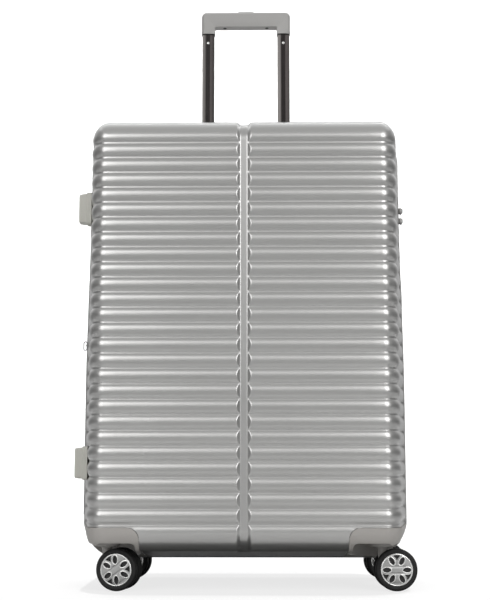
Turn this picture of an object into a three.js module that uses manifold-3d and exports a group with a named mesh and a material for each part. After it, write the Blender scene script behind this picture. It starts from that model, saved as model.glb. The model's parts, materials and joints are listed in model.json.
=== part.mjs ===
// Hard shell suitcase on four twin-wheel casters, with a single-stage trolley.
// Units are millimetres. +Z is up, the front face looks along -Y and the hinge
// side is -X. The origin is the middle of the bounding box, on the floor.
import * as THREE from 'three';
import { mergeVertices } from 'three/addons/utils/BufferGeometryUtils.js';
import Module from 'manifold-3d';

const wasm = await Module();
wasm.setup();

// ---------------------------------------------------------------- dimensions
// Shell envelope. Both halves are dished away from the parting rim at Y = 0.
const RIM_Y = 4;              // half of the zipper gap between the two rims
const RIM_HALF_W = 260;       // half-width of the case at the parting plane
const RIM_TOP = 745, RIM_BOTTOM = 42;
const RIM_CORNER_R = 46;
const EDGE_Y = 112;           // where the tapered side turns into the face
const EDGE_HALF_W = 240, EDGE_TOP = 731, EDGE_BOTTOM = 60;
const EDGE_CORNER_R = 34;
const FACE_Y = 150;           // front and rear faces
const ROLL = FACE_Y - EDGE_Y; // radius of the edge of the face
const SHELL_WALL = 3;
const CHANNEL_HALF_W = 7.5, CHANNEL_DEPTH = 4.5;

// Corner guards and wheel wells
const GUARD_INNER_X = 157, GUARD_TOP = 98, GUARD_RIM_Y = 10;
const GUARD_WALL = 4;
const WELL_R = 52.5, WELL_CEILING = 73, WELL_WALL = 4;

// Casters
const SWIVEL_X = 212, SWIVEL_Y = 85;
const WHEEL_R = 32, HUB_R = 25, TRAIL = 20;
const WHEEL_INNER = 4.8, WHEEL_OUTER = 18.3;   // from the middle of the fork
const FORK_HALF_T = 4.2, FORK_TOP = 72.5, FORK_PLATE = 66.2, FORK_R = 21;
const STEM_R = 6, AXLE_R = 3.2;
const CASTER_YAW = { front_left: -11.3, front_right: 2.7, rear_left: -8, rear_right: 5 };

// Trolley handle
const TUBE_X = 67.75, TROLLEY_Y = 122;
const GRIP_TOP = 1000, GRIP_UNDER = 970, GRIP_LEG_BOTTOM = 959, GRIP_HALF_W = 80;
const GRIP_HALF_D = 9.5, LEG_W = 24;
const TUBE_W = 20.5, TUBE_D = 12.5, TUBE_WALL = 1.5;
const SLEEVE_W = 24.5, SLEEVE_D = 16.5, SLEEVE_WALL = 1.6;
const SLEEVE_BOTTOM = 78, SLEEVE_TOP = 704, INNER_TUBE_BOTTOM = 640;
const BUTTON_HALF_W = 14.4, BUTTON_PROUD = 3;
const BEZEL = { x: 92, y0: 103, y1: 141, z0: 700, z1: 735 };

// Side feet, lock, zip parts, carry handles
const FOOT_FACE_X = 266.5, FOOT_Y = 68, FOOT_Z = [600, 193.5], FOOT_H = 49, FOOT_D = 22;
const LOCK = { x0: 244, x1: 259, y0: 22, y1: 46, z0: 558, z1: 642 };
const DIAL_R = 7, DIAL_X = 253, DIAL_Z = [631, 621.5, 612];
const SLIDER_Z = [610, 593];
const HANDLE_Y = 52, HANDLE_HALF_L = 105, HANDLE_D = 26, HANDLE_T = 8;
const HANDLE_LIFT = 20;
const SIDE_HANDLE_Z = 400;

// ---------------------------------------------------------------- helpers
const group = new THREE.Group();

function toSolid(geometry) {
  const g = geometry.clone();
  g.deleteAttribute('normal');
  g.deleteAttribute('uv');
  const m = mergeVertices(g, 1e-4);
  return new wasm.Manifold(new wasm.Mesh({
    numProp: 3,
    vertProperties: new Float32Array(m.attributes.position.array),
    triVerts: new Uint32Array(m.index.array),
  }));
}

function toGeometry(solid) {
  const mesh = solid.getMesh();
  const g = new THREE.BufferGeometry();
  g.setAttribute('position', new THREE.BufferAttribute(new Float32Array(mesh.vertProperties), 3));
  g.setIndex(new THREE.BufferAttribute(new Uint32Array(mesh.triVerts), 1));
  g.computeVertexNormals();
  return g;
}

// A closed body through a list of rings with equal point counts.
function loft(rings) {
  const n = rings[0].length, pos = [], idx = [];
  for (const ring of rings) for (const p of ring) pos.push(...p);
  for (let k = 0; k + 1 < rings.length; k++) {
    for (let i = 0; i < n; i++) {
      const j = (i + 1) % n, a = k * n + i, b = k * n + j, c = a + n, d = b + n;
      idx.push(a, b, d, a, d, c);
    }
  }
  for (const k of [0, rings.length - 1]) {
    const mid = [0, 0, 0];
    for (const p of rings[k]) for (let c = 0; c < 3; c++) mid[c] += p[c] / n;
    const m = pos.length / 3;
    pos.push(...mid);
    for (let i = 0; i < n; i++) {
      const j = (i + 1) % n;
      if (k === 0) idx.push(k * n + j, k * n + i, m); else idx.push(k * n + i, k * n + j, m);
    }
  }
  let volume = 0;
  for (let t = 0; t < idx.length; t += 3) {
    const [a, b, c] = [0, 1, 2].map((q) => new THREE.Vector3().fromArray(pos, idx[t + q] * 3));
    volume += a.dot(b.cross(c));
  }
  if (volume < 0) for (let t = 0; t < idx.length; t += 3) [idx[t], idx[t + 1]] = [idx[t + 1], idx[t]];
  const g = new THREE.BufferGeometry();
  g.setAttribute('position', new THREE.BufferAttribute(new Float32Array(pos), 3));
  g.setIndex(idx);
  return g;
}

// Outline of a rounded rectangle as [a, b] pairs.
function roundedRect(a0, a1, b0, b1, r, seg = 4) {
  const pts = [];
  const corners = [[a1 - r, b1 - r, 0], [a0 + r, b1 - r, 90], [a0 + r, b0 + r, 180], [a1 - r, b0 + r, 270]];
  for (const [ca, cb, start] of corners) {
    for (let k = 0; k <= seg; k++) {
      const t = THREE.MathUtils.degToRad(start + (90 * k) / seg);
      pts.push([ca + r * Math.cos(t), cb + r * Math.sin(t)]);
    }
  }
  return pts;
}

const box = (x0, x1, y0, y1, z0, z1) => toSolid(new THREE.BoxGeometry(x1 - x0, y1 - y0, z1 - z0)
  .translate((x0 + x1) / 2, (y0 + y1) / 2, (z0 + z1) / 2));

// A block with rounded vertical edges, between two heights.
function pillar(x0, x1, y0, y1, z0, z1, r, seg = 3) {
  const o = roundedRect(x0, x1, y0, y1, r, seg);
  return toSolid(loft([o.map(([a, b]) => [a, b, z0]), o.map(([a, b]) => [a, b, z1])]));
}

// A cylinder along 'x', 'y' or 'z' between two positions.
function rod(r, axis, from, to, u, v, seg = 20) {
  const g = new THREE.CylinderGeometry(r, r, to - from, seg);
  const m = (from + to) / 2;
  if (axis === 'z') g.rotateX(Math.PI / 2).translate(u, v, m);
  if (axis === 'y') g.translate(u, m, v);
  if (axis === 'x') g.rotateZ(Math.PI / 2).translate(m, u, v);
  return toSolid(g);
}

function add(name, geometry, color, roughness, metalness, parent = group) {
  const geo = geometry.isBufferGeometry ? geometry : toGeometry(geometry);
  const mesh = new THREE.Mesh(geo, new THREE.MeshStandardMaterial({ color, roughness, metalness }));
  mesh.name = name;
  parent.add(mesh);
  return mesh;
}

const SILVER = [0xa9a9a6, 0.34, 0.85], GREY = [0x8c8883, 0.6, 0.0], DARK = [0x2b2a29, 0.7, 0.0];
const TYRE = [0x161616, 0.85, 0.0], HUB = [0xb4b4b2, 0.3, 0.7], GUN = [0x56514e, 0.35, 0.9];
const GRIP = [0x97948f, 0.5, 0.0], BEIGE = [0xa7a398, 0.55, 0.0], STEEL = [0xb9b9b6, 0.3, 1.0];

// ---------------------------------------------------------------- shells
// Section of the case at distance d from the parting plane, grown by `off`.
function caseSection(d, off = 0) {
  const t = (Math.min(d, EDGE_Y) - 0) / EDGE_Y;
  const mix = (a, b) => a + (b - a) * t;
  let inset = 0;
  if (d > EDGE_Y) {
    const r = ROLL + off, s = Math.min(1, (d - EDGE_Y) / r);
    inset = r * (1 - Math.sqrt(1 - s * s));
  }
  const hw = mix(RIM_HALF_W, EDGE_HALF_W) + off - inset;
  const top = mix(RIM_TOP, EDGE_TOP) + off - inset;
  const bottom = mix(RIM_BOTTOM, EDGE_BOTTOM) - off + inset;
  const r = Math.max(5, mix(RIM_CORNER_R, EDGE_CORNER_R) + off - inset);
  return roundedRect(-hw, hw, bottom, top, r, 4);
}

// The dished solid of one half. side is -1 for the front and 1 for the rear.
function caseSolid(side, from, off = 0) {
  const r = ROLL + off;
  const steps = [from, EDGE_Y];
  for (const a of [24, 46, 66, 81, 90]) steps.push(EDGE_Y + r * Math.sin(THREE.MathUtils.degToRad(a)));
  return toSolid(loft(steps.map((d) => caseSection(d, off).map(([x, z]) => [x, side * d, z]))));
}

function guardRegion(sx, sy, gap) {
  const o = roundedRect(GUARD_INNER_X + gap, 330, -60, GUARD_TOP - gap, 18, 5);
  const ring = (y) => o.map(([x, z]) => [sx * x, sy * y, z]);
  return toSolid(loft([ring(GUARD_RIM_Y + gap), ring(170)]));
}

function shell(side) {
  const inner = caseSolid(side, 0, -SHELL_WALL)
    .subtract(box(-CHANNEL_HALF_W - 4, CHANNEL_HALF_W + 4, ...span(side, FACE_Y - SHELL_WALL - CHANNEL_DEPTH, FACE_Y + 5), 90, 700));
  let body = caseSolid(side, RIM_Y)
    .subtract(box(-CHANNEL_HALF_W, CHANNEL_HALF_W, ...span(side, FACE_Y - CHANNEL_DEPTH, FACE_Y + 5), 99, 691))
    .subtract(inner);
  for (const sx of [-1, 1]) body = body.subtract(guardRegion(sx, side, 0));
  return body;
}

// Two ascending Y values on the given side of the parting plane.
function span(side, near, far) {
  return side > 0 ? [near, far] : [-far, -near];
}

const frontShell = shell(-1);
add('front_shell', frontShell, ...SILVER);

let rearShell = shell(1);
rearShell = rearShell
  .subtract(box(-BEZEL.x - 0.3, BEZEL.x + 0.3, BEZEL.y0 - 0.3, BEZEL.y1 + 0.3, 702, 760))
  .subtract(box(LOCK.x0, 275, LOCK.y0 - 0.3, LOCK.y1 + 0.3, LOCK.z0 - 0.3, LOCK.z1 + 0.3));
for (const s of [-1, 1]) {
  rearShell = rearShell
    .subtract(box(s * 88 - 7.5, s * 88 + 7.5, HANDLE_Y - 8.5, HANDLE_Y + 8.5, 725, 750))
    .subtract(box(235, 270, HANDLE_Y - 8.5, HANDLE_Y + 8.5, SIDE_HANDLE_Z + s * 88 - 7.5, SIDE_HANDLE_Z + s * 88 + 7.5));
}
add('rear_shell', rearShell, ...SILVER);

// ---------------------------------------------------------------- corner guards
for (const [sideName, side] of [['front', -1], ['rear', 1]]) {
  const outer = caseSolid(side, RIM_Y), hollow = caseSolid(side, 0, -GUARD_WALL);
  for (const [lr, sx] of [['left', -1], ['right', 1]]) {
    const region = guardRegion(sx, side, 0.35);
    const block = outer.intersect(region);
    const housing = rod(WELL_R + WELL_WALL, 'z', 20, WELL_CEILING + WELL_WALL, sx * SWIVEL_X, side * SWIVEL_Y, 28).intersect(block);
    const guard = block.subtract(hollow).add(housing)
      .subtract(rod(WELL_R, 'z', 0, WELL_CEILING, sx * SWIVEL_X, side * SWIVEL_Y, 28))
      .subtract(rod(STEM_R + 0.5, 'z', 60, 90, sx * SWIVEL_X, side * SWIVEL_Y, 16));
    add(`corner_guard_${sideName}_${lr}`, guard, ...GREY);
  }
}

// ---------------------------------------------------------------- zip and hinge
// A flat strip along the rim: down from the left top corner's end, over the top,
// down the right side and along the bottom, leaving the straight left run free.
function rimStrip(y0, y1, outX, thick) {
  const inset = RIM_HALF_W - outX;
  const outline = (o) => roundedRect(-outX + o, outX - o, RIM_BOTTOM + inset + o, RIM_TOP - inset - o, RIM_CORNER_R - inset - o, 5);
  const out = outline(0), inn = outline(thick), n = out.length, rings = [];
  for (let k = 0; k < n; k++) {
    const i = (11 - k + n) % n;
    rings.push([[out[i][0], y0, out[i][1]], [out[i][0], y1, out[i][1]], [inn[i][0], y1, inn[i][1]], [inn[i][0], y0, inn[i][1]]]);
  }
  return loft(rings);
}
add('front_zipper_tape', rimStrip(-3.7, -0.3, 258.8, 2), ...DARK);
add('rear_zipper_tape', rimStrip(0.3, 3.7, 258.8, 2), ...DARK);
add('hinge_gusset', pillar(-261.4, -259.9, -3.5, 3.5, 112, 676, 0.6, 2), 0x262525, 0.85, 0);

// ---------------------------------------------------------------- casters
// Built with the wheels trailing towards +X, then turned about the swivel axis.
function latheAlongY(profile, seg) {
  const g = new THREE.LatheGeometry(profile.map(([r, y]) => new THREE.Vector2(r, y)), seg);
  return toSolid(g);
}
const wheelMidY = (WHEEL_INNER + WHEEL_OUTER) / 2, wheelHalf = (WHEEL_OUTER - WHEEL_INNER) / 2;

const forkPlate = rod(FORK_R, 'z', FORK_PLATE, FORK_TOP, 0, 0, 24);
const forkStem = rod(STEM_R, 'z', FORK_TOP - 1, 88, 0, 0, 16);
const webShape = new THREE.Shape([[-13, 68], [-14, 50], [-2, 30], [12, 22], [22, 21], [30, 26], [32, 34], [28, 42], [20, 46], [14, 54], [13, 68]]
  .map(([x, z]) => new THREE.Vector2(x, z)));
const forkWeb = toSolid(new THREE.ExtrudeGeometry(webShape, { depth: 2 * FORK_HALF_T, bevelEnabled: false })
  .rotateX(Math.PI / 2).translate(0, FORK_HALF_T, 0));
const fork = forkPlate.add(forkStem).add(forkWeb).subtract(rod(AXLE_R + 0.3, 'y', -20, 20, TRAIL, WHEEL_R, 16));
const axle = rod(AXLE_R, 'y', -WHEEL_OUTER + 3.5, WHEEL_OUTER - 3.5, TRAIL, WHEEL_R, 14);
const hub = latheAlongY([[AXLE_R + 0.3, -wheelHalf], [9, -wheelHalf], [HUB_R, -wheelHalf + 2.5],
  [HUB_R, wheelHalf - 0.5], [21.5, wheelHalf - 0.5], [20.5, wheelHalf - 2.5], [AXLE_R + 0.3, wheelHalf - 2.5], [AXLE_R + 0.3, -wheelHalf]], 20);
const tyre = latheAlongY([[HUB_R + 0.35, -wheelHalf], [WHEEL_R - 2.5, -wheelHalf], [WHEEL_R, -wheelHalf + 2.8],
  [WHEEL_R, wheelHalf - 2.8], [WHEEL_R - 2.5, wheelHalf], [HUB_R + 0.35, wheelHalf], [HUB_R + 0.35, -wheelHalf]], 20);
const forkGeo = toGeometry(fork), axleGeo = toGeometry(axle), hubGeo = toGeometry(hub), tyreGeo = toGeometry(tyre);
const hubGeoFar = toGeometry(hub.mirror([0, 1, 0]));

for (const [key, yaw] of Object.entries(CASTER_YAW)) {
  const [fr, lr] = key.split('_');
  const caster = new THREE.Group();
  caster.position.set(lr === 'left' ? -SWIVEL_X : SWIVEL_X, fr === 'front' ? -SWIVEL_Y : SWIVEL_Y, 0);
  caster.rotation.z = THREE.MathUtils.degToRad(yaw);
  group.add(caster);
  add(`caster_fork_${key}`, forkGeo, ...GREY, caster);
  add(`caster_axle_${key}`, axleGeo, ...STEEL, caster);
  for (const [tag, s] of [['a', -1], ['b', 1]]) {
    const h = add(`wheel_hub_${key}_${tag}`, s > 0 ? hubGeo : hubGeoFar, ...HUB, caster);
    const t = add(`tyre_${key}_${tag}`, tyreGeo, ...TYRE, caster);
    for (const m of [h, t]) m.position.set(TRAIL, s * wheelMidY, WHEEL_R);
  }
}

// ---------------------------------------------------------------- trolley
// Grip: a U of one bar and two short legs, with sockets for the tubes.
const gripShape = new THREE.Shape();
{
  const o = [[-GRIP_HALF_W, GRIP_LEG_BOTTOM], [-GRIP_HALF_W + LEG_W, GRIP_LEG_BOTTOM], [-GRIP_HALF_W + LEG_W, GRIP_UNDER - 2], [-GRIP_HALF_W + LEG_W + 2, GRIP_UNDER],
    [GRIP_HALF_W - LEG_W - 2, GRIP_UNDER], [GRIP_HALF_W - LEG_W, GRIP_UNDER - 2], [GRIP_HALF_W - LEG_W, GRIP_LEG_BOTTOM], [GRIP_HALF_W, GRIP_LEG_BOTTOM]];
  for (const [c, s] of [[GRIP_HALF_W - 9, 0], [-(GRIP_HALF_W - 9), 90]]) {
    for (let k = 0; k <= 4; k++) {
      const t = THREE.MathUtils.degToRad(s + 22.5 * k);
      o.push([c + 9 * Math.cos(t), GRIP_TOP - 9 + 9 * Math.sin(t)]);
    }
  }
  gripShape.setFromPoints(o.map(([x, z]) => new THREE.Vector2(x, z)));
}
const bevel = 2.5;
let grip = toSolid(new THREE.ExtrudeGeometry(gripShape, { depth: 2 * (GRIP_HALF_D - bevel), bevelThickness: bevel, bevelSize: bevel, bevelOffset: -bevel, bevelSegments: 2 })
  .rotateX(Math.PI / 2).translate(0, TROLLEY_Y + GRIP_HALF_D - bevel, 0));
grip = grip.subtract(box(-76, 76, TROLLEY_Y - 4.5, TROLLEY_Y + 4.5, 978, 990))
  .subtract(box(-BUTTON_HALF_W - 0.4, BUTTON_HALF_W + 0.4, TROLLEY_Y - 4.5, TROLLEY_Y + 4.5, 985, 1005));
for (const s of [-1, 1]) {
  grip = grip.subtract(box(s * TUBE_X - TUBE_W / 2 - 0.35, s * TUBE_X + TUBE_W / 2 + 0.35, TROLLEY_Y - TUBE_D / 2 - 0.35, TROLLEY_Y + TUBE_D / 2 + 0.35, 950, 974))
    .subtract(rod(3.6, 'z', 970, 980, s * TUBE_X, TROLLEY_Y, 12));
}
add('trolley_grip', grip, ...GRIP);

// Push button with the bar inside the grip that bears on the two release rods.
const button = pillar(-BUTTON_HALF_W, BUTTON_HALF_W, TROLLEY_Y - 4, TROLLEY_Y + 4, 985.5, GRIP_TOP + BUTTON_PROUD, 2.5)
  .add(box(-74, 74, TROLLEY_Y - 3.5, TROLLEY_Y + 3.5, 983, 987));
add('push_button', button, 0xa5a29d, 0.45, 0);

for (const [lr, s] of [['left', -1], ['right', 1]]) {
  const inner = pillar(s * TUBE_X - TUBE_W / 2, s * TUBE_X + TUBE_W / 2, TROLLEY_Y - TUBE_D / 2, TROLLEY_Y + TUBE_D / 2, INNER_TUBE_BOTTOM, 973.5, 3, 3)
    .subtract(pillar(s * TUBE_X - TUBE_W / 2 + TUBE_WALL, s * TUBE_X + TUBE_W / 2 - TUBE_WALL, TROLLEY_Y - TUBE_D / 2 + TUBE_WALL, TROLLEY_Y + TUBE_D / 2 - TUBE_WALL, INNER_TUBE_BOTTOM - 5, 980, 1.5, 2));
  add(`inner_tube_${lr}`, inner, ...GUN);
  const sleeve = pillar(s * TUBE_X - SLEEVE_W / 2, s * TUBE_X + SLEEVE_W / 2, TROLLEY_Y - SLEEVE_D / 2, TROLLEY_Y + SLEEVE_D / 2, SLEEVE_BOTTOM, SLEEVE_TOP, 3, 2)
    .subtract(pillar(s * TUBE_X - SLEEVE_W / 2 + SLEEVE_WALL, s * TUBE_X + SLEEVE_W / 2 - SLEEVE_WALL, TROLLEY_Y - SLEEVE_D / 2 + SLEEVE_WALL, TROLLEY_Y + SLEEVE_D / 2 - SLEEVE_WALL, SLEEVE_BOTTOM - 5, SLEEVE_TOP + 5, 1.5, 2));
  add(`outer_tube_${lr}`, sleeve, 0x8f8f8d, 0.4, 0.9);
  add(`release_rod_${lr}`, rod(2.4, 'z', 652, 982.6, s * TUBE_X, TROLLEY_Y, 8), ...STEEL);
}

// Bezel in the top of the rear half, with a well that takes the stowed grip.
const bz = BEZEL;
let bezel = pillar(-bz.x, bz.x, bz.y0, bz.y1, bz.z0, bz.z1, 8, 4)
  .subtract(pillar(-GRIP_HALF_W - 1.5, GRIP_HALF_W + 1.5, TROLLEY_Y - GRIP_HALF_D - 1.5, TROLLEY_Y + GRIP_HALF_D + 1.5, 718.5, 760, 3, 2));
for (const s of [-1, 1]) {
  bezel = bezel.subtract(box(...(s > 0 ? [GRIP_HALF_W - LEG_W - 1.5, GRIP_HALF_W + 1.5] : [-GRIP_HALF_W - 1.5, -GRIP_HALF_W + LEG_W + 1.5]), TROLLEY_Y - GRIP_HALF_D - 1.5, TROLLEY_Y + GRIP_HALF_D + 1.5, 708, 740))
    .subtract(box(s * TUBE_X - SLEEVE_W / 2 - 0.4, s * TUBE_X + SLEEVE_W / 2 + 0.4, TROLLEY_Y - SLEEVE_D / 2 - 0.4, TROLLEY_Y + SLEEVE_D / 2 + 0.4, 690, SLEEVE_TOP + 0.4))
    .subtract(box(s * TUBE_X - TUBE_W / 2 - 0.5, s * TUBE_X + TUBE_W / 2 + 0.5, TROLLEY_Y - TUBE_D / 2 - 0.5, TROLLEY_Y + TUBE_D / 2 + 0.5, 700, 712));
}
add('trolley_bezel', bezel, 0x3a3a3a, 0.55, 0);

let bracket = box(-90, 90, 108, 133.5, 74.5, 100);
for (const s of [-1, 1]) bracket = bracket.subtract(box(s * TUBE_X - SLEEVE_W / 2 - 0.35, s * TUBE_X + SLEEVE_W / 2 + 0.35, TROLLEY_Y - SLEEVE_D / 2 - 0.35, TROLLEY_Y + SLEEVE_D / 2 + 0.35, SLEEVE_BOTTOM - 0.3, 130));
add('tube_base_bracket', bracket, ...DARK);

// ---------------------------------------------------------------- lock and zip sliders
let lock = box(LOCK.x0, LOCK.x1, LOCK.y0, LOCK.y1, LOCK.z0, LOCK.z1)
  .subtract(box(254.5, 262, 29.6, 38.4, 576, 594)).subtract(rod(4.5, 'x', 251.5, 262, 34, 567, 16));
for (const z of DIAL_Z) lock = lock.subtract(box(DIAL_X - DIAL_R - 0.6, 265, 34 - DIAL_R - 0.6, 34 + DIAL_R + 0.6, z - 3.3, z + 3.3));
add('lock_body', lock, 0x2a2a2a, 0.5, 0);
DIAL_Z.forEach((z, k) => add(`lock_dial_${k + 1}`, rod(DIAL_R, 'z', z - 2.9, z + 2.9, DIAL_X, 34, 20), 0xc0bfbb, 0.4, 0.2));
add('lock_release_slide', box(254.9, 260.6, 30, 38, 577, 587), 0x9c9c98, 0.4, 0.5);
add('lock_key_cylinder', rod(4, 'x', 252, 259.4, 34, 567, 16), ...STEEL);

['upper', 'lower'].forEach((name, k) => {
  const z = SLIDER_Z[k];
  add(`zip_slider_${name}`, toSolid(loft([
    roundedRect(-4.6, 4.6, z - 5, z + 5, 1.5, 2).map(([y, zz]) => [259.3, y, zz]),
    roundedRect(-3.4, 3.4, z - 4.2, z + 4.2, 1.5, 2).map(([y, zz]) => [262.4, y, zz])])), 0x4a4846, 0.35, 0.9);
  add(`zip_pull_tab_${name}`, box(260.4, 262.0, 5.0, 20.5, z - 3.2, z + 3.2), 0x4a4846, 0.35, 0.9);
});
const loopShape = new THREE.Shape(roundedRect(5.5, 14.5, 372, 391.5, 3.5, 3).map(([a, b]) => new THREE.Vector2(a, b)));
loopShape.holes.push(new THREE.Path(roundedRect(7.3, 12.7, 373.8, 389.7, 2, 3).map(([a, b]) => new THREE.Vector2(a, b)).reverse()));
const loop = toSolid(new THREE.ExtrudeGeometry(loopShape, { depth: 1.6, bevelEnabled: false })
  .applyMatrix4(new THREE.Matrix4().set(0, 0, 1, -264.6, 1, 0, 0, 0, 0, 1, 0, 0, 0, 0, 0, 1)));
add('expander_zip_slider', loop.add(box(-262.6, -259.0, 6, 14, 378, 388)).add(box(-264.6, -262, 8.6, 11.4, 383, 391)), 0x2c2b2a, 0.4, 0.8);

// ---------------------------------------------------------------- side feet
for (const [fr, side] of [['front', -1], ['rear', 1]]) {
  const wall = caseSolid(side, RIM_Y, 0.35);
  FOOT_Z.forEach((z, k) => {
    const ring = (x, dy, dz, r) => roundedRect(side * FOOT_Y - dy, side * FOOT_Y + dy, z - dz, z + dz, r, 3).map(([y, zz]) => [x, y, zz]);
    const d = FOOT_D / 2, h = FOOT_H / 2;
    const foot = toSolid(loft([ring(-243, d, h, 6), ring(-260, d, h, 6), ring(-264.5, d - 1.5, h - 1.5, 5), ring(-FOOT_FACE_X, d - 4, h - 4, 4)])).subtract(wall);
    add(`side_foot_${fr}_${k === 0 ? 'upper' : 'lower'}`, foot, ...BEIGE);
  });
}

// ---------------------------------------------------------------- carry handles
// A bar on two legs that pass through the wall and end in wider stops inside.
function carryHandle() {
  // Drawn with X along the handle, Y across it and Z outwards from the wall.
  const L = HANDLE_HALF_L, stations = [[-L, 8, 6, 10], [-L + 3, 10.5, 5, 11.5], [-80, 13, 5.5, 14], [-60, 13, 6.5, 14.5],
    [60, 13, 6.5, 14.5], [80, 13, 5.5, 14], [L - 3, 10.5, 5, 11.5], [L, 8, 6, 10]];
  let s = toSolid(loft(stations.map(([x, half, z0, z1]) => roundedRect(-half, half, z0, z1, Math.min(3, (z1 - z0) / 2 - 0.2), 2).map(([y, z]) => [x, y, z]))));
  for (const q of [-1, 1]) {
    s = s.add(box(q * 88 - 6, q * 88 + 6, -7, 7, -HANDLE_LIFT - 6, 9))
      .add(box(q * 88 - 10, q * 88 + 10, -7, 7, -HANDLE_LIFT - 8, -HANDLE_LIFT - 5.5));
  }
  return toGeometry(s);
}
const wallTop = RIM_TOP - (RIM_TOP - EDGE_TOP) * HANDLE_Y / EDGE_Y;
const wallSide = RIM_HALF_W - (RIM_HALF_W - EDGE_HALF_W) * HANDLE_Y / EDGE_Y;
const topHandle = add('top_carry_handle', carryHandle(), ...DARK);
topHandle.position.set(0, HANDLE_Y, wallTop);
const sideHandle = add('side_carry_handle', carryHandle(), ...DARK);
sideHandle.position.set(wallSide, HANDLE_Y, SIDE_HANDLE_Z);
sideHandle.rotation.y = Math.PI / 2;

// ---------------------------------------------------------------- origin
group.updateMatrixWorld(true);
const bounds = new THREE.Box3().setFromObject(group, true);
group.position.set(-(bounds.min.x + bounds.max.x) / 2, -(bounds.min.y + bounds.max.y) / 2, -bounds.min.z);
group.updateMatrixWorld(true);

export default group;
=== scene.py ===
import bpy, bmesh, math, json
import numpy as np
from mathutils import Vector, Matrix


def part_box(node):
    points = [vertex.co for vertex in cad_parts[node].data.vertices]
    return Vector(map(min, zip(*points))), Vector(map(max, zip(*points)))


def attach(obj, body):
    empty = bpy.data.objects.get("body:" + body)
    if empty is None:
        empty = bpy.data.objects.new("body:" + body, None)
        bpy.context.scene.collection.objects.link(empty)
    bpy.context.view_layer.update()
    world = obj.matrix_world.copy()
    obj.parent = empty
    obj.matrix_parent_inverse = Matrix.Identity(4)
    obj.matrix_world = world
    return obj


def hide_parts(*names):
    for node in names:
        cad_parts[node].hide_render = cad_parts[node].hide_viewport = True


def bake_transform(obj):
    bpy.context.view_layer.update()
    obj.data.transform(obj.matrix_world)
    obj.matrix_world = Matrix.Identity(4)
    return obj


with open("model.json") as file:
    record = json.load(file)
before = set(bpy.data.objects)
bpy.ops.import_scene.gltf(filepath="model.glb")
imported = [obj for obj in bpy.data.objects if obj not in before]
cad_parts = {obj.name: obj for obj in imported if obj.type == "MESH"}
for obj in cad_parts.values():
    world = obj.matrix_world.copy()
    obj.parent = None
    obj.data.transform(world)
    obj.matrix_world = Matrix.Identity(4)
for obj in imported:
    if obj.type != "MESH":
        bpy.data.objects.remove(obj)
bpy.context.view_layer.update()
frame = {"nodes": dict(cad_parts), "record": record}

# The case's own middle plane in the row frame, in millimetres.
_lo, _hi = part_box("rear_zipper_tape")
OX = (_lo.x + _hi.x) / 2 * 1000.0

# ------------------------------------------------------------------ dimensions (mm)
R, RX = 36.0, 28.0            # roll of the face's top edge, and of its vertical edges
IX, ID, IZC, IZH = 213.0, 114.0, 395.2, 299.2
RIM = 4.0
FLARE_X, FLARE_Z = 19.0, 16.5
PITCH, G0, NG = 23.5, 690.0, 26
GROOVES = [G0 - PITCH * i for i in range(NG)]
GX, GZ, GD, GR = 157.0, 98.0, 10.0, 18.0      # corner guard outline
SWX, SWY = 212.0, 85.0
TUBE_X, TROLLEY_Y = 67.75, 122.0


# ------------------------------------------------------------------ small helpers
def P(x, y, z):
    return Vector(((x + OX) / 1000, y / 1000, z / 1000))


def smooth(a, b, x):
    t = np.clip((np.asarray(x, float) - a) / (b - a), 0, 1)
    return t * t * (3 - 2 * t)


def new_mesh(name, verts, faces, mat=None, shade=None, place=True):
    """verts in case millimetres. shade is the sharp-edge angle in degrees, or None for flat."""
    v = np.asarray(verts, float).copy()
    if place:
        v[:, 0] += OX
    v /= 1000.0
    me = bpy.data.meshes.new(name)
    me.from_pydata(v.tolist(), [], faces if isinstance(faces, list) else faces.tolist())
    me.validate()
    ob = bpy.data.objects.new(name, me)
    bpy.context.scene.collection.objects.link(ob)
    if mat:
        me.materials.append(mat)
    if shade is not None:
        smooth_shade(ob, shade)
    return ob


def smooth_shade(ob, angle=35):
    me = ob.data
    me.polygons.foreach_set("use_smooth", [True] * len(me.polygons))
    me.set_sharp_from_angle(angle=math.radians(angle))
    me.update()


def outward(ob):
    bm = bmesh.new()
    bm.from_mesh(ob.data)
    bmesh.ops.recalc_face_normals(bm, faces=bm.faces)
    bm.to_mesh(ob.data)
    bm.free()
    return ob


def bake_mods(ob):
    """Applies the object's modifiers to its mesh."""
    dg = bpy.context.evaluated_depsgraph_get()
    dg.update()
    e = ob.evaluated_get(dg)
    me = bpy.data.meshes.new_from_object(e)
    old = ob.data
    ob.modifiers.clear()
    ob.data = me
    bpy.data.meshes.remove(old)
    return ob


def boolean(ob, cutter, op, keep=False):
    m = ob.modifiers.new("b", "BOOLEAN")
    m.operation, m.solver, m.object = op, "EXACT", cutter
    bake_mods(ob)
    if not keep:
        me = cutter.data
        bpy.data.objects.remove(cutter)
        bpy.data.meshes.remove(me)
    return ob


def bevel(ob, width, segments=2, angle=35):
    m = ob.modifiers.new("v", "BEVEL")
    m.width, m.segments, m.limit_method, m.angle_limit = width / 1000, segments, "ANGLE", math.radians(angle)
    m.harden_normals = False
    m.use_clamp_overlap = True
    bake_mods(ob)
    return ob


def rounded_rect(a0, a1, b0, b1, r, seg=6):
    pts = []
    for ca, cb, s in ((a1 - r, b1 - r, 0), (a0 + r, b1 - r, 90), (a0 + r, b0 + r, 180), (a1 - r, b0 + r, 270)):
        for k in range(seg + 1):
            t = math.radians(s + 90 * k / seg)
            pts.append((ca + r * math.cos(t), cb + r * math.sin(t)))
    return pts


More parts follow.
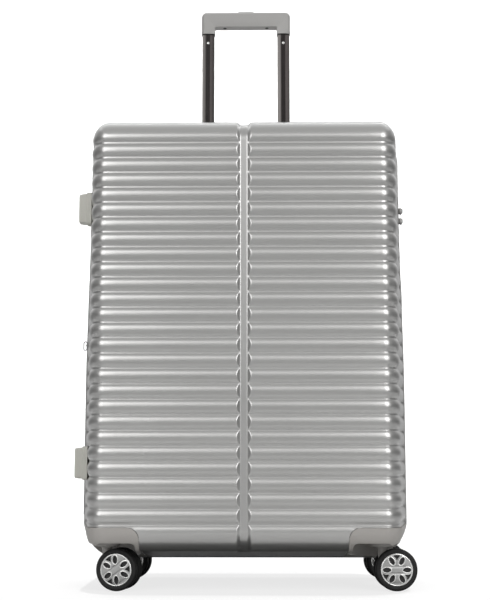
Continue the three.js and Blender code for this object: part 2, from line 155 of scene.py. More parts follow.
def loft(name, rings, mat=None, shade=35, caps=True, closed=False):
    n = len(rings[0])
    verts = [p for ring in rings for p in ring]
    faces = []
    m = len(rings)
    for k in range(m if closed else m - 1):
        a, b = k * n, ((k + 1) % m) * n
        for i in range(n):
            j = (i + 1) % n
            faces.append([a + i, a + j, b + j, b + i])
    if caps and not closed:
        faces.append(list(range(n - 1, -1, -1)))
        faces.append([(m - 1) * n + i for i in range(n)])
    ob = new_mesh(name, verts, faces, mat)
    outward(ob)
    if shade is not None:
        smooth_shade(ob, shade)
    return ob


def block(name, x0, x1, y0, y1, z0, z1, mat=None, r=0.0, seg=2):
    v = [(x, y, z) for x in (x0, x1) for y in (y0, y1) for z in (z0, z1)]
    f = [[0, 1, 3, 2], [4, 6, 7, 5], [0, 4, 5, 1], [2, 3, 7, 6], [0, 2, 6, 4], [1, 5, 7, 3]]
    ob = outward(new_mesh(name, v, f, mat))
    if r:
        bevel(ob, r, seg, 30)
        smooth_shade(ob, 40)
    return ob


def frame_to(axis, ref=(0, 0, 1)):
    a = Vector(axis).normalized()
    r = Vector(ref)
    if abs(a.dot(r)) > 0.95:
        r = Vector((1, 0, 0))
    u = r.cross(a).normalized()
    return u, a.cross(u).normalized(), a


def lathe(name, profile, centre, axis, seg=48, mat=None, shade=35, closed=True):
    """profile is a list of (radius, offset along axis), a closed loop. centre in case mm."""
    u, w, a = frame_to(axis)
    c = Vector(centre)
    rings = []
    for k in range(seg):
        t = 2 * math.pi * k / seg
        e = u * math.cos(t) + w * math.sin(t)
        rings.append([tuple(c + e * r + a * h) for r, h in profile])
    n = len(profile)
    verts = [p for ring in rings for p in ring]
    faces = []
    for k in range(seg):
        p, q = k * n, ((k + 1) % seg) * n
        for i in range(n if closed else n - 1):
            j = (i + 1) % n
            faces.append([p + i, p + j, q + j, q + i])
    ob = new_mesh(name, verts, faces, mat)
    bm = bmesh.new()
    bm.from_mesh(ob.data)
    bmesh.ops.remove_doubles(bm, verts=bm.verts, dist=1e-6)
    bmesh.ops.recalc_face_normals(bm, faces=bm.faces)
    bm.to_mesh(ob.data)
    bm.free()
    if shade is not None:
        smooth_shade(ob, shade)
    return ob


def sweep(name, path, section, mat=None, closed=False, normals=None, shade=35, caps=True):
    """section is a list of (a, b): a along the path's side vector, b along its up vector."""
    n, rings = len(path), []
    pts = [Vector(p) for p in path]
    for i, p in enumerate(pts):
        t = (pts[(i + 1) % n] - pts[i - 1]) if closed else (pts[min(i + 1, n - 1)] - pts[max(i - 1, 0)])
        t.normalize()
        up = Vector(normals[i]) if normals is not None else Vector((0, 0, 1))
        up = (up - t * up.dot(t)).normalized()
        side = t.cross(up)
        rings.append([tuple(p + side * a + up * b) for a, b in section])
    return loft(name, rings, mat, shade, caps=caps, closed=closed)


def join(name, obs):
    """Joins meshes into one object."""
    bm = bmesh.new()
    mats = []
    for o in obs:
        for m in o.data.materials:
            if m not in mats:
                mats.append(m)
    for o in obs:
        idx = [mats.index(m) for m in o.data.materials]
        start = len(bm.faces)
        bm.from_mesh(o.data)
        bm.faces.ensure_lookup_table()
        if idx:
            for f in bm.faces[start:]:
                f.material_index = idx[min(f.material_index, len(idx) - 1)]
    me = bpy.data.meshes.new(name)
    bm.to_mesh(me)
    bm.free()
    for m in mats:
        me.materials.append(m)
    ob = bpy.data.objects.new(name, me)
    bpy.context.scene.collection.objects.link(ob)
    for o in obs:
        d = o.data
        bpy.data.objects.remove(o)
        if d.users == 0:
            bpy.data.meshes.remove(d)
    return ob


# ------------------------------------------------------------------ materials
class Nodes:
    def __init__(self, name):
        self.m = bpy.data.materials.new(name)
        self.m.use_nodes = True
        self.t = self.m.node_tree
        self.b = self.t.nodes["Principled BSDF"]
        self.co = self.t.nodes.new("ShaderNodeTexCoord").outputs["Object"]

    def node(self, kind, **props):
        n = self.t.nodes.new(kind)
        for k, v in props.items():
            setattr(n, k, v)
        return n

    def link(self, a, b):
        self.t.links.new(a, b)

    def mapped(self, scale=(1, 1, 1), rot=(0, 0, 0)):
        n = self.node("ShaderNodeMapping")
        n.inputs["Scale"].default_value = scale
        n.inputs["Rotation"].default_value = rot
        self.link(self.co, n.inputs["Vector"])
        return n.outputs[0]

    def noise(self, scale, detail=3, rough=0.5, vec=None, dist=0.0):
        n = self.node("ShaderNodeTexNoise")
        n.inputs["Scale"].default_value = scale
        n.inputs["Detail"].default_value = detail
        n.inputs["Roughness"].default_value = rough
        n.inputs["Distortion"].default_value = dist
        self.link(vec if vec is not None else self.co, n.inputs["Vector"])
        return n.outputs["Fac"]

    def voronoi(self, scale, feature="F1", vec=None):
        n = self.node("ShaderNodeTexVoronoi", feature=feature)
        n.inputs["Scale"].default_value = scale
        self.link(vec if vec is not None else self.co, n.inputs["Vector"])
        return n.outputs["Distance"]

    def wave(self, scale, direction="X", kind="BANDS", vec=None, dist=0.0, profile="SIN"):
        n = self.node("ShaderNodeTexWave", wave_type=kind, wave_profile=profile)
        if kind == "BANDS":
            n.bands_direction = direction
        n.inputs["Scale"].default_value = scale
        n.inputs["Distortion"].default_value = dist
        self.link(vec if vec is not None else self.co, n.inputs["Vector"])
        return n.outputs["Fac"]

    def ramp(self, fac, stops):
        n = self.node("ShaderNodeValToRGB")
        e = n.color_ramp.elements
        while len(e) < len(stops):
            e.new(0.5)
        for s, (pos, col) in zip(e, stops):
            s.position = pos
            s.color = (*col, 1) if len(col) == 3 else col
        self.link(fac, n.inputs["Fac"])
        return n.outputs["Color"]

    def range(self, fac, lo, hi, a=0.0, b=1.0):
        n = self.node("ShaderNodeMapRange")
        n.inputs["From Min"].default_value, n.inputs["From Max"].default_value = a, b
        n.inputs["To Min"].default_value, n.inputs["To Max"].default_value = lo, hi
        self.link(fac, n.inputs["Value"])
        return n.outputs["Result"]

    def math(self, op, a, b=None):
        n = self.node("ShaderNodeMath", operation=op)
        for i, v in enumerate((a, b)):
            if v is None:
                continue
            if isinstance(v, (int, float)):
                n.inputs[i].default_value = v
            else:
                self.link(v, n.inputs[i])
        return n.outputs[0]

    def bump(self, height, strength, distance, normal=None):
        n = self.node("ShaderNodeBump")
        n.inputs["Strength"].default_value = strength
        n.inputs["Distance"].default_value = distance
        self.link(height, n.inputs["Height"])
        if normal is not None:
            self.link(normal, n.inputs["Normal"])
        return n.outputs["Normal"]

    def set(self, **kw):
        names = dict(color="Base Color", rough="Roughness", metal="Metallic", normal="Normal", coat="Coat Weight",
                     coat_rough="Coat Roughness", sheen="Sheen Weight", sheen_rough="Sheen Roughness", spec="Specular IOR Level",
                     aniso="Anisotropic", ior="IOR")
        for k, v in kw.items():
            s = self.b.inputs[names[k]]
            if isinstance(v, (int, float)):
                s.default_value = v
            elif isinstance(v, tuple):
                s.default_value = (*v, 1)
            else:
                self.link(v, s)
        return self


def tint(c, k):
    return tuple(max(0.0, min(1.0, x * k)) for x in c)


def painted_silver(name, base, rough=0.32, metal=0.85, flake=1.0, scuff=1.0):
    """Satin metallic paint over moulded polycarbonate: fine flake, a faint orange peel, light rub marks."""
    n = Nodes(name)
    fl = n.voronoi(2600)
    cloud = n.noise(9, 4)
    streak = n.noise(60, 5, 0.6, n.mapped((1, 1, 7)))
    mix = n.math("ADD", n.math("MULTIPLY", fl, 0.35 * flake), n.math("MULTIPLY", cloud, 0.65))
    n.set(color=n.ramp(mix, [(0.25, tint(base, 0.985)), (0.5, base), (0.8, tint(base, 1.015))]))
    rub = n.range(streak, 0.0, 0.02 * scuff, 0.56, 0.75)
    r = n.math("ADD", n.range(cloud, rough - 0.012, rough + 0.015, 0.3, 0.7), rub)
    n.set(rough=r, metal=metal, coat=0.25, coat_rough=0.18)
    h = n.math("ADD", n.math("MULTIPLY", n.noise(900, 2), 0.6), n.math("MULTIPLY", fl, 0.4))
    n.set(normal=n.bump(h, 0.01, 0.00002))
    return n.m


def moulded(name, base, rough=0.5, grain=1800, depth=0.00006, strength=0.35, spec=0.5, edge=1.0, coat=0.0):
    """Moulded plastic with a fine spark-eroded grain, faint flow clouding and handling marks."""
    n = Nodes(name)
    g = n.noise(grain, 3, 0.6)
    cloud = n.noise(14, 4, 0.55)
    marks = n.noise(120, 6, 0.7, n.mapped((1, 1, 3)))
    mix = n.math("ADD", n.math("MULTIPLY", cloud, 0.75), n.math("MULTIPLY", g, 0.25))
    n.set(color=n.ramp(mix, [(0.3, tint(base, 0.93)), (0.55, base), (0.8, tint(base, 1.06))]))
    r = n.math("ADD", n.range(g, rough - 0.04, rough + 0.05, 0.35, 0.65), n.range(marks, 0.0, 0.12 * edge, 0.6, 0.75))
    n.set(rough=r, spec=spec, normal=n.bump(g, strength, depth))
    if coat:
        n.set(coat=coat, coat_rough=0.25)
    return n.m


def metal_brushed(name, base, rough=0.3, axis=2, fine=900):
    n = Nodes(name)
    sc = [1.0, 1.0, 1.0]
    sc[axis] = 0.012
    lines = n.noise(fine, 4, 0.7, n.mapped(tuple(sc)))
    cloud = n.noise(25, 3)
    n.set(color=n.ramp(lines, [(0.3, tint(base, 0.86)), (0.5, base), (0.72, tint(base, 1.1))]), metal=1.0)
    r = n.math("ADD", n.range(lines, rough - 0.06, rough + 0.1, 0.3, 0.7), n.range(cloud, -0.02, 0.04, 0.3, 0.7))
    n.set(rough=r, normal=n.bump(lines, 0.18, 0.00004))
    return n.m


def rubber(name, base):
    n = Nodes(name)
    g = n.noise(1500, 4, 0.65)
    dust = n.noise(40, 5, 0.6)
    n.set(color=n.ramp(dust, [(0.35, base), (0.62, tint(base, 1.25)), (0.85, tint(base, 2.0))]))
    n.set(rough=n.range(dust, 0.62, 0.85, 0.3, 0.7), spec=0.35, normal=n.bump(g, 0.4, 0.00006))
    return n.m


def woven(name, base, pitch=0.0011, vecs=("X", "Z"), sheen=0.25, rough=0.85, contrast=0.35):
    """A plain weave of warp and weft threads, with slubs and a little fading."""
    n = Nodes(name)
    k = 1.0 / pitch / 2
    a = n.wave(k / 3.14159 * 3.14159 / 10 * 5, vecs[0])
    b = n.wave(k / 3.14159 * 3.14159 / 10 * 5, vecs[1])
    w = n.math("MULTIPLY", a, b)
    s = n.noise(300, 4, 0.6)
    mix = n.math("ADD", n.math("MULTIPLY", w, 0.6), n.math("MULTIPLY", s, 0.4))
    n.set(color=n.ramp(mix, [(0.15, tint(base, 1 - contrast)), (0.45, base), (0.8, tint(base, 1 + contrast))]))
    n.set(rough=rough, sheen=sheen, sheen_rough=0.5, spec=0.3)
    n.set(normal=n.bump(n.math("ADD", w, n.math("MULTIPLY", s, 0.3)), 0.5, 0.00018))
    return n.m


M_SHELL = painted_silver("shell_silver", (0.39, 0.388, 0.381), 0.31, 0.9)
M_GUARD = moulded("guard_grey", (0.266, 0.254, 0.240), 0.42, 1500, 0.00005, 0.3, coat=0.1)
M_FORK = moulded("fork_grey", (0.27, 0.26, 0.248), 0.48, 1500, 0.00005, 0.3)
M_DARK = moulded("black_plastic", (0.022, 0.022, 0.022), 0.5, 1600, 0.00006, 0.4)
M_GRIP = moulded("grip_grey", (0.272, 0.267, 0.259), 0.36, 2200, 0.00003, 0.25, coat=0.2)
M_BUTTON = moulded("button_grey", (0.40, 0.395, 0.385), 0.36, 2200, 0.00003, 0.2, coat=0.2)
M_FOOT = moulded("foot_beige", (0.44, 0.435, 0.395), 0.5, 1400, 0.00006, 0.35)
M_HUB = painted_silver("hub_silver", (0.36, 0.36, 0.355), 0.3, 0.85)
# a paler copy of the hub silver for the raised ring and rims: a painted highlight for the light they catch
M_HUB_RIM_PAINTED_HIGHLIGHT = painted_silver("hub_rim_silver_painted_highlight", (0.66, 0.66, 0.65), 0.24, 0.85)
# black plastic made darker still for the drum seen through the cap's windows: painted shade in the pockets
M_HUB_POCKET_SHADE = moulded("hub_recess_painted_shade", (0.012, 0.012, 0.012), 0.6, 1600, 0.00006, 0.4)
M_TYRE = rubber("tyre_rubber", (0.008, 0.008, 0.008))
M_TUBE = metal_brushed("tube_gunmetal", (0.026, 0.0235, 0.023), 0.24, 2)
# a paler copy of the tube gunmetal: a painted highlight on the left of each tube's front
M_TUBE_PAINTED_HIGHLIGHT = metal_brushed("tube_gunmetal_painted_highlight", (0.10, 0.094, 0.091), 0.3, 2)
M_SLEEVE = metal_brushed("sleeve_aluminium", (0.55, 0.55, 0.55), 0.38, 2)
M_STEEL = metal_brushed("bright_steel", (0.62, 0.62, 0.61), 0.22, 1)
M_ZIPMETAL = metal_brushed("zip_dark_metal", (0.17, 0.167, 0.162), 0.3, 2)
M_TAPE = woven("zip_tape_weave", (0.028, 0.028, 0.029), 0.0012, ("Z", "X"))
M_TOOTH = moulded("zip_tooth", (0.05, 0.05, 0.05), 0.32, 2500, 0.00002, 0.2)
M_LINING = woven("lining_weave", (0.060, 0.062, 0.068), 0.0016, ("X", "Z"), 0.35, 0.8, 0.3)


# ------------------------------------------------------------------ the case's outer form
def flare(x, d, z, off=0.0):
    """Widens the walls towards the parting plane."""
    t = np.clip((ID - d) / (ID - RIM), 0, 1)
    kx = np.clip((np.abs(x) - IX) / RX, 0, 1)
    kz = np.clip((np.abs(z - IZC) - IZH) / R, 0, 1)
    soft = 1 - 0.25 * np.sin(2 * np.arctan2(kz, np.maximum(kx, 1e-6))) * (np.minimum(kx, kz) > 0)     # the rim's corners are rounder
    fx = FLARE_X - 5.0 * smooth(300, 640, z)
    return x + np.sign(x) * fx * t * kx * soft, z + np.sign(z - IZC) * FLARE_Z * t * kz * soft


ARC = [math.tan(math.radians(a)) for a in (0, 7.5, 15, 22.5, 30, 37.5, 45)]


def envelope(cols, rows, depths, off=0.0):
    """Grid vertices (x, d, z) and quads of the dished form: front, two sides, top and bottom.
    cols: x values within +-IX; rows: z values within the straight run; depths: from the rim to ID."""
    C = [(-IX, -t) for t in ARC[::-1]] + [(c, 0.0) for c in cols if abs(c) < IX - 0.01] + [(IX, t) for t in ARC]
    Z0, Z1 = IZC - IZH, IZC + IZH
    Rr = [(Z0, -t) for t in ARC[::-1]] + [(r, 0.0) for r in rows if Z0 + 0.01 < r < Z1 - 0.01] + [(Z1, t) for t in ARC]
    D = [(d, 0.0) for d in depths if d < ID - 0.01] + [(ID, t) for t in ARC]
    verts, quads = [], []

    def grid(points, flip):
        base = len(verts)
        nu, nv = len(points), len(points[0])
        for u in points:
            verts.extend(u)
        for i in range(nu - 1):
            for j in range(nv - 1):
                a, b, c, d = base + i * nv + j, base + (i + 1) * nv + j, base + (i + 1) * nv + j + 1, base + i * nv + j + 1
                quads.append((a, d, c, b) if flip else (a, b, c, d))

    def pt(xi, ta, dd, td, zi, tb):
        L = math.sqrt(ta * ta + td * td + tb * tb)
        return xi + (RX + off) * ta / L, dd + (R + off) * td / L, zi + (R + off) * tb / L

    grid([[pt(xi, ta, ID, 1.0, zi, tb) for zi, tb in Rr] for xi, ta in C], True)
    for s in (-1, 1):
        grid([[pt(s * IX, s * 1.0, dd, td, zi, tb) for zi, tb in Rr] for dd, td in D], s < 0)
        grid([[pt(xi, ta, dd, td, IZC + s * IZH, s * 1.0) for dd, td in D] for xi, ta in C], s < 0)
    v = np.array(verts)
    x, z = flare(v[:, 0], v[:, 1], v[:, 2])
    v[:, 0], v[:, 2] = x, z
    # weld the shared edges
    key = np.round(v, 4)
    _, first, inv = np.unique(key, axis=0, return_index=True, return_inverse=True)
    inv = inv.reshape(-1)
    q, v = inv[np.array(quads)], v[first]
    n = np.cross(v[q[:, 2]] - v[q[:, 0]], v[q[:, 3]] - v[q[:, 1]])
    back = np.sum(n * (v[q].mean(axis=1) - np.array([0, 30, IZC])), axis=1) < 0
    q[back] = q[back][:, ::-1]
    return v, q


def vertex_normals(v, q):
    a, b, c, d = v[q[:, 0]], v[q[:, 1]], v[q[:, 2]], v[q[:, 3]]
    n = np.cross(c - a, d - b)
    out = np.zeros_like(v)
    for k in range(4):
        np.add.at(out, q[:, k], n)
    return out / np.maximum(np.linalg.norm(out, axis=1, keepdims=True), 1e-9)


RIB_H, CH_H = 3.5, 4.6


def rib_cut(x, d, z, nz, start=10.0):
    """Depth below the crest surface: grooves between the ribs, and the middle channel."""
    g = np.array(GROOVES)
    v = np.min(np.abs(z[:, None] - g[None, :]), axis=1)
    t = np.clip((v - 1.35) / (PITCH / 2 - 1.35), 0, 1)
    rib = RIB_H * (1 - t) ** 2.2 * smooth(start, start + 7.0, d)
    rib *= ((z > GROOVES[-1] - PITCH / 2) & (z < GROOVES[0] + PITCH / 2))
    ch = CH_H * (1 - smooth(4.4, 12.0, np.abs(x)))
    low = z < 110
    ch *= np.where(low, smooth(115.5, 124.0, d), smooth(10.0, 17.0, d))
    ch *= np.abs(x) < 12.2
    k = 0.28
    return np.log(np.exp(rib / k) + np.exp(ch / k) - 1 + 1e-12) * k


def shell_mesh(side):
    offs = [0, 0.9, 1.35, 1.9, 2.7, 3.8, 5.3, 7.2, 9.4]
    rows = set()
    for g in GROOVES:
        for o in offs:
            rows.update((round(g + o, 3), round(g - o, 3)))
        rows.update((round(g + PITCH / 2, 3), round(g - PITCH / 2, 3)))
    rows.update((GZ,))
    rows = sorted(r for r in rows if r > 96.3)
    # drop rows that crowd the guard's top edge
    rows = [r for r in rows if r == GZ or abs(r - GZ) > 0.4]
    c = [2.4, 4.2, 5.0, 5.8, 6.6, 7.4, 8.2, 9.0, 9.8, 10.6, 11.4, 12.2, 13.4, 17, 30, 75, 120, GX, 160, 163.5, 167, 171, 175, 195]
    cols = sorted([-k for k in c] + [0] + c)
    depths = [RIM, 5.5, 7.5, 9.0, GD, 11.2, 12.4, 13.6, 14.8, 16, 17.4, 20, 26, 36, 55, 75, 95, ID]
    v, q = envelope(cols, rows, depths)
    # orient outwards, away from the middle
    n = vertex_normals(v, q)
    cut = rib_cut(v[:, 0], v[:, 1], v[:, 2], n[:, 2], 10.0 if side < 0 else 13.0)
    lip = 0.9 * (1 - smooth(7.5, 10.0, v[:, 1]))
    w = v - n * (cut[:, None]) + n * (lip[:, None] - 0.35)
    # open the two lower corners for the guards
    ax = np.abs(v[:, 0])
    u0, u1 = ax - GX, GZ - v[:, 2]
    inside = (u0 > -0.01) & (u1 > -0.01) & (v[:, 1] > GD - 0.01)
    corner = inside & (u0 < GR) & (u1 < GR)
    dist = np.hypot(GR - u0, GR - u1)
    sd_in = np.where(corner, dist < GR + 0.01, inside)
    keep_f = ~np.all(sd_in[q], axis=1)
    # faces with every corner at or inside the outline go; outline points that are left inside move onto it
    used = np.zeros(len(v), bool)
    used[q[keep_f].ravel()] = True
    mv = used & corner & (dist < GR)
    if mv.any():
        s = GR / np.maximum(dist[mv], 1e-6)
        w[mv, 0] = np.sign(v[mv, 0]) * (GX + GR - (GR - u0[mv]) * s)
        w[mv, 2] = GZ - (GR - (GR - u1[mv]) * s)
    q = q[keep_f]
    idx = np.unique(q)
    remap = -np.ones(len(v), int)
    remap[idx] = np.arange(len(idx))
    w, q = w[idx], remap[q]
    w = w[:, [0, 1, 2]]
    w[:, 1] *= side
    if side < 0:
        q = q[:, ::-1]
    name = "front_shell_ribbed" if side < 0 else "rear_shell_ribbed"
    ob = new_mesh(name, w, q, M_SHELL)
    return ob


def thicken(ob, mm):
    m = ob.modifiers.new("s", "SOLIDIFY")
    m.thickness, m.offset, m.use_even_offset = mm / 1000, -1, False
    bake_mods(ob)
    return ob


front_shell = shell_mesh(-1)
rear_shell = shell_mesh(1)
for ob in (front_shell, rear_shell):
    thicken(ob, 2.0)
    smooth_shade(ob, 50)
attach(front_shell, "front_half"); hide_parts("front_shell")
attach(rear_shell, "case"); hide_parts("rear_shell")


# ------------------------------------------------------------------ which body each CAD node is on
BODY_OF = {}
for _b, _nodes in frame["record"]["behaviour"]["bodies"].items():
    for _n in _nodes:
        BODY_OF[_n] = _b


def put(ob, *nodes, slot=None, body=None):
    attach(ob, body or BODY_OF[nodes[0]])
    if nodes:
        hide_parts(*nodes)
    return ob


def mirrored(ob, name, mx=False, my=False):
    """A copy turned over about the case's middle plane (x), the parting plane (y), or both."""
    me = ob.data.copy()
    n = len(me.vertices)
    co = np.empty(n * 3)
    me.vertices.foreach_get("co", co)
    co = co.reshape(-1, 3)
    if mx:
        co[:, 0] = 2 * OX / 1000 - co[:, 0]
    if my:
        co[:, 1] *= -1
    me.vertices.foreach_set("co", co.ravel())
    if mx != my:
        me.flip_normals()
    me.update()
    o = bpy.data.objects.new(name, me)
    bpy.context.scene.collection.objects.link(o)
    return o


def filled(name, off, depths=(RIM, 20, 60, 90, ID), cols=(), rows=()):
    """The whole dished form as a closed solid, on the +Y side."""
    v, q = envelope(list(cols) or [-100, 0, 100], list(rows) or [200, 400, 600], list(depths), off)
    ob = new_mesh(name, v, q)
    bm = bmesh.new()
    bm.from_mesh(ob.data)
    bmesh.ops.holes_fill(bm, edges=[e for e in bm.edges if e.is_boundary], sides=0)
    bmesh.ops.recalc_face_normals(bm, faces=bm.faces)
    bm.to_mesh(ob.data)
    bm.free()
    return ob


def cylinder(name, r, z0, z1, cx, cy, seg=96, mat=None):
    return lathe(name, [(0, z0), (r, z0), (r, z1), (0, z1)], (cx, cy, 0), (0, 0, 1), seg, mat, None)


# ------------------------------------------------------------------ corner guards
def make_guard():
    cols = [-100, 0, 100, 150, 157, 175, 195]
    outer = filled("guard_outer", 0.55, cols=cols)
    inner = filled("guard_inner", -2.5, depths=(-6, 20, 60, 90, ID), cols=cols)
    skin = boolean(outer, inner, "DIFFERENCE")
    gx, gz, r = GX + 0.6, GZ - 0.6, GR - 0.3
    out = [(330, 10), (330, gz)] + [(gx + r - r * math.sin(t), gz - r + r * math.cos(t)) for t in np.linspace(0, math.pi / 2, 13)] + [(gx, 10)]
    prism = loft("guard_prism", [[(x, y, z) for x, z in out] for y in (GD + 0.6, 220)], None, None)
    skin = boolean(skin, prism, "INTERSECT", keep=True)
    cup = cylinder("guard_cup", 55.6, 20, 76.5, SWX, SWY)
    cup = boolean(cup, filled("guard_core", -1.2, cols=cols), "INTERSECT")
    cup = boolean(cup, prism, "INTERSECT")
    g = boolean(skin, cup, "UNION")
    g = boolean(g, cylinder("guard_well", 52.5, -20, 73, SWX, SWY), "DIFFERENCE")
    arch = loft("guard_arch", [[(x, y, z) for x, z in rounded_rect(163.5, 223.5, -20, 74.2, 8.0, 6)] for y in (SWY, 200)], None, None)
    g = boolean(g, arch, "DIFFERENCE")
    g = boolean(g, cylinder("guard_hole", 6.6, 60, 90, SWX, SWY, 48), "DIFFERENCE")
    g.data.materials.clear()
    g.data.materials.append(M_GUARD)
    for p in g.data.polygons:
        p.material_index = 0
    bevel(g, 0.7, 2, 32)
    smooth_shade(g, 32)
    g.name = "guard_rear_right"
    return g


g_rr = make_guard()
for name, node, mx, my in (("guard_rear_left", "corner_guard_rear_left", True, False),
                           ("guard_front_right", "corner_guard_front_right", False, True),
                           ("guard_front_left", "corner_guard_front_left", True, True)):
    put(mirrored(g_rr, name, mx, my), node, slot="guard")
put(g_rr, "corner_guard_rear_right", slot="guard")


# ------------------------------------------------------------------ casters
def almond(a0, seg=22):
    pts = []
    for k in range(seg):
        t = 2 * math.pi * k / seg
        s = (1 - math.cos(t)) / 2
        w = 3.55 * abs(math.sin(t)) ** 1.15 * (1 if t < math.pi else -1)
        r = 9.0 + 12.8 * s
        ca, sa = math.cos(a0), math.sin(a0)
        pts.append((r * ca - w * sa, r * sa + w * ca))
    return pts


def trigon(a0):
    pts = []
    corner = [(13.8, 0.0), (18.2, 2.4), (21.6, 5.6), (22.1, 3.0), (22.3, 0.0), (22.1, -3.0), (21.6, -5.6), (18.2, -2.4)]
    for r, w in corner:
        pts.append((r * math.cos(a0) - w * math.sin(a0), r * math.sin(a0) + w * math.cos(a0)))
    return pts


def circle(r, n=72):
    return [(r * math.cos(2 * math.pi * k / n), r * math.sin(2 * math.pi * k / n)) for k in range(n)]


def flat_curve(name, loops, extrude, bev):
    cu = bpy.data.curves.new(name, "CURVE")
    cu.dimensions, cu.fill_mode = "2D", "BOTH"
    cu.extrude, cu.bevel_depth, cu.bevel_resolution, cu.offset = extrude, bev, 2, -bev
    for loop in loops:
        s = cu.splines.new("POLY")
        s.points.add(len(loop) - 1)
        for p, (x, y) in zip(s.points, loop):
            p.co = (x, y, 0, 1)
        s.use_cyclic_u = True
    o = bpy.data.objects.new(name, cu)
    bpy.context.scene.collection.objects.link(o)
    dg = bpy.context.evaluated_depsgraph_get()
    dg.update()
    me = bpy.data.meshes.new_from_object(o.evaluated_get(dg))
    bpy.data.objects.remove(o)
    bpy.data.curves.remove(cu)
    n = len(me.vertices)
    co = np.empty(n * 3)
    me.vertices.foreach_get("co", co)
    v = co.reshape(-1, 3)
    f = [list(p.vertices) for p in me.polygons]
    bpy.data.meshes.remove(me)
    return v, f


def tube_loop(loop, r, h, seg=8):
    """A thin raised rim that follows a closed outline, at height h."""
    pts = np.array(loop)
    nxt, prv = np.roll(pts, -1, 0), np.roll(pts, 1, 0)
    d = nxt - prv
    d /= np.linalg.norm(d, axis=1, keepdims=True)
    nrm = np.stack([d[:, 1], -d[:, 0]], 1)
    v, f = [], []
    for i in range(len(pts)):
        for k in range(seg):
            t = 2 * math.pi * k / seg
            o = nrm[i] * (r * math.cos(t))
            v.append((pts[i, 0] + o[0], pts[i, 1] + o[1], h + r * 0.8 * math.sin(t)))
    n = len(pts)
    for i in range(n):
        for k in range(seg):
            a, b = i * seg, ((i + 1) % n) * seg
            f.append([a + k, a + (k + 1) % seg, b + (k + 1) % seg, b + k])
    return v, f


def grow(loop, mm):
    pts = np.array(loop)
    c = pts.mean(0)
    nxt, prv = np.roll(pts, -1, 0), np.roll(pts, 1, 0)
    d = nxt - prv
    d /= np.linalg.norm(d, axis=1, keepdims=True)
    nrm = np.stack([d[:, 1], -d[:, 0]], 1)
    s = np.sign(np.sum(nrm * (pts - c), axis=1).sum())
    return [tuple(p) for p in pts + nrm * s * mm]


def place_cap(parts, centre, axis, rot):
    """Turns cap-plane meshes (x right, y up, z outwards) to sit on a wheel face."""
    a = Vector(axis).normalized()
    up = Vector((0, 0, 1))
    right = up.cross(a).normalized()
    up = a.cross(right)
    c = Vector(centre)
    cr, sr = math.cos(rot), math.sin(rot)
    out = []
    for v, f in parts:
        vv = [tuple(c + right * (x * cr - y * sr) + up * (x * sr + y * cr) + a * z) for x, y, z in v]
        out.append((vv, f))
    return out


holes = [almond(math.radians(a)) for a in range(0, 360, 60)]
tris = [trigon(math.radians(a)) for a in (90, 210, 330)]
cap_face = flat_curve("cap", [circle(24.3)] + holes + tris, 0.9, 0.45)
rims = [tube_loop(grow(h, 0.8), 1.0, 0.85) for h in holes] + [tube_loop(grow(t, 0.3), 0.5, 0.7) for t in tris]
ring = tube_loop(circle(23.7), 1.35, 0.55, 10)


def dome(parts):
    out = []
    for v, f in parts:
        v = np.array(v, float)
        r = np.hypot(v[:, 0], v[:, 1])
        v[:, 2] += 1.5 * (1 - (r / 25.0) ** 2)
        out.append((v.tolist(), f))
    return out


CAP = dome([cap_face, ring] + rims)
TYRE = [(25.15, -5.9), (26.6, -6.5), (29.2, -6.7), (30.9, -6.1), (31.75, -5.0), (32.0, -3.6), (31.98, -2.6), (31.4, -2.35), (31.4, -1.95),
        (31.98, -1.7), (32.0, 0), (31.98, 1.7), (31.4, 1.95), (31.4, 2.35), (31.98, 2.6), (32.0, 3.6), (31.75, 5.0), (30.9, 6.1),
        (29.2, 6.7), (26.6, 6.5), (25.15, 5.9)]
TURN = {"front_left": 35, "front_right": 0, "rear_left": 17, "rear_right": 48}
YAWS = {"front_left": -11.3, "front_right": 2.7, "rear_left": -8.0, "rear_right": 5.0}


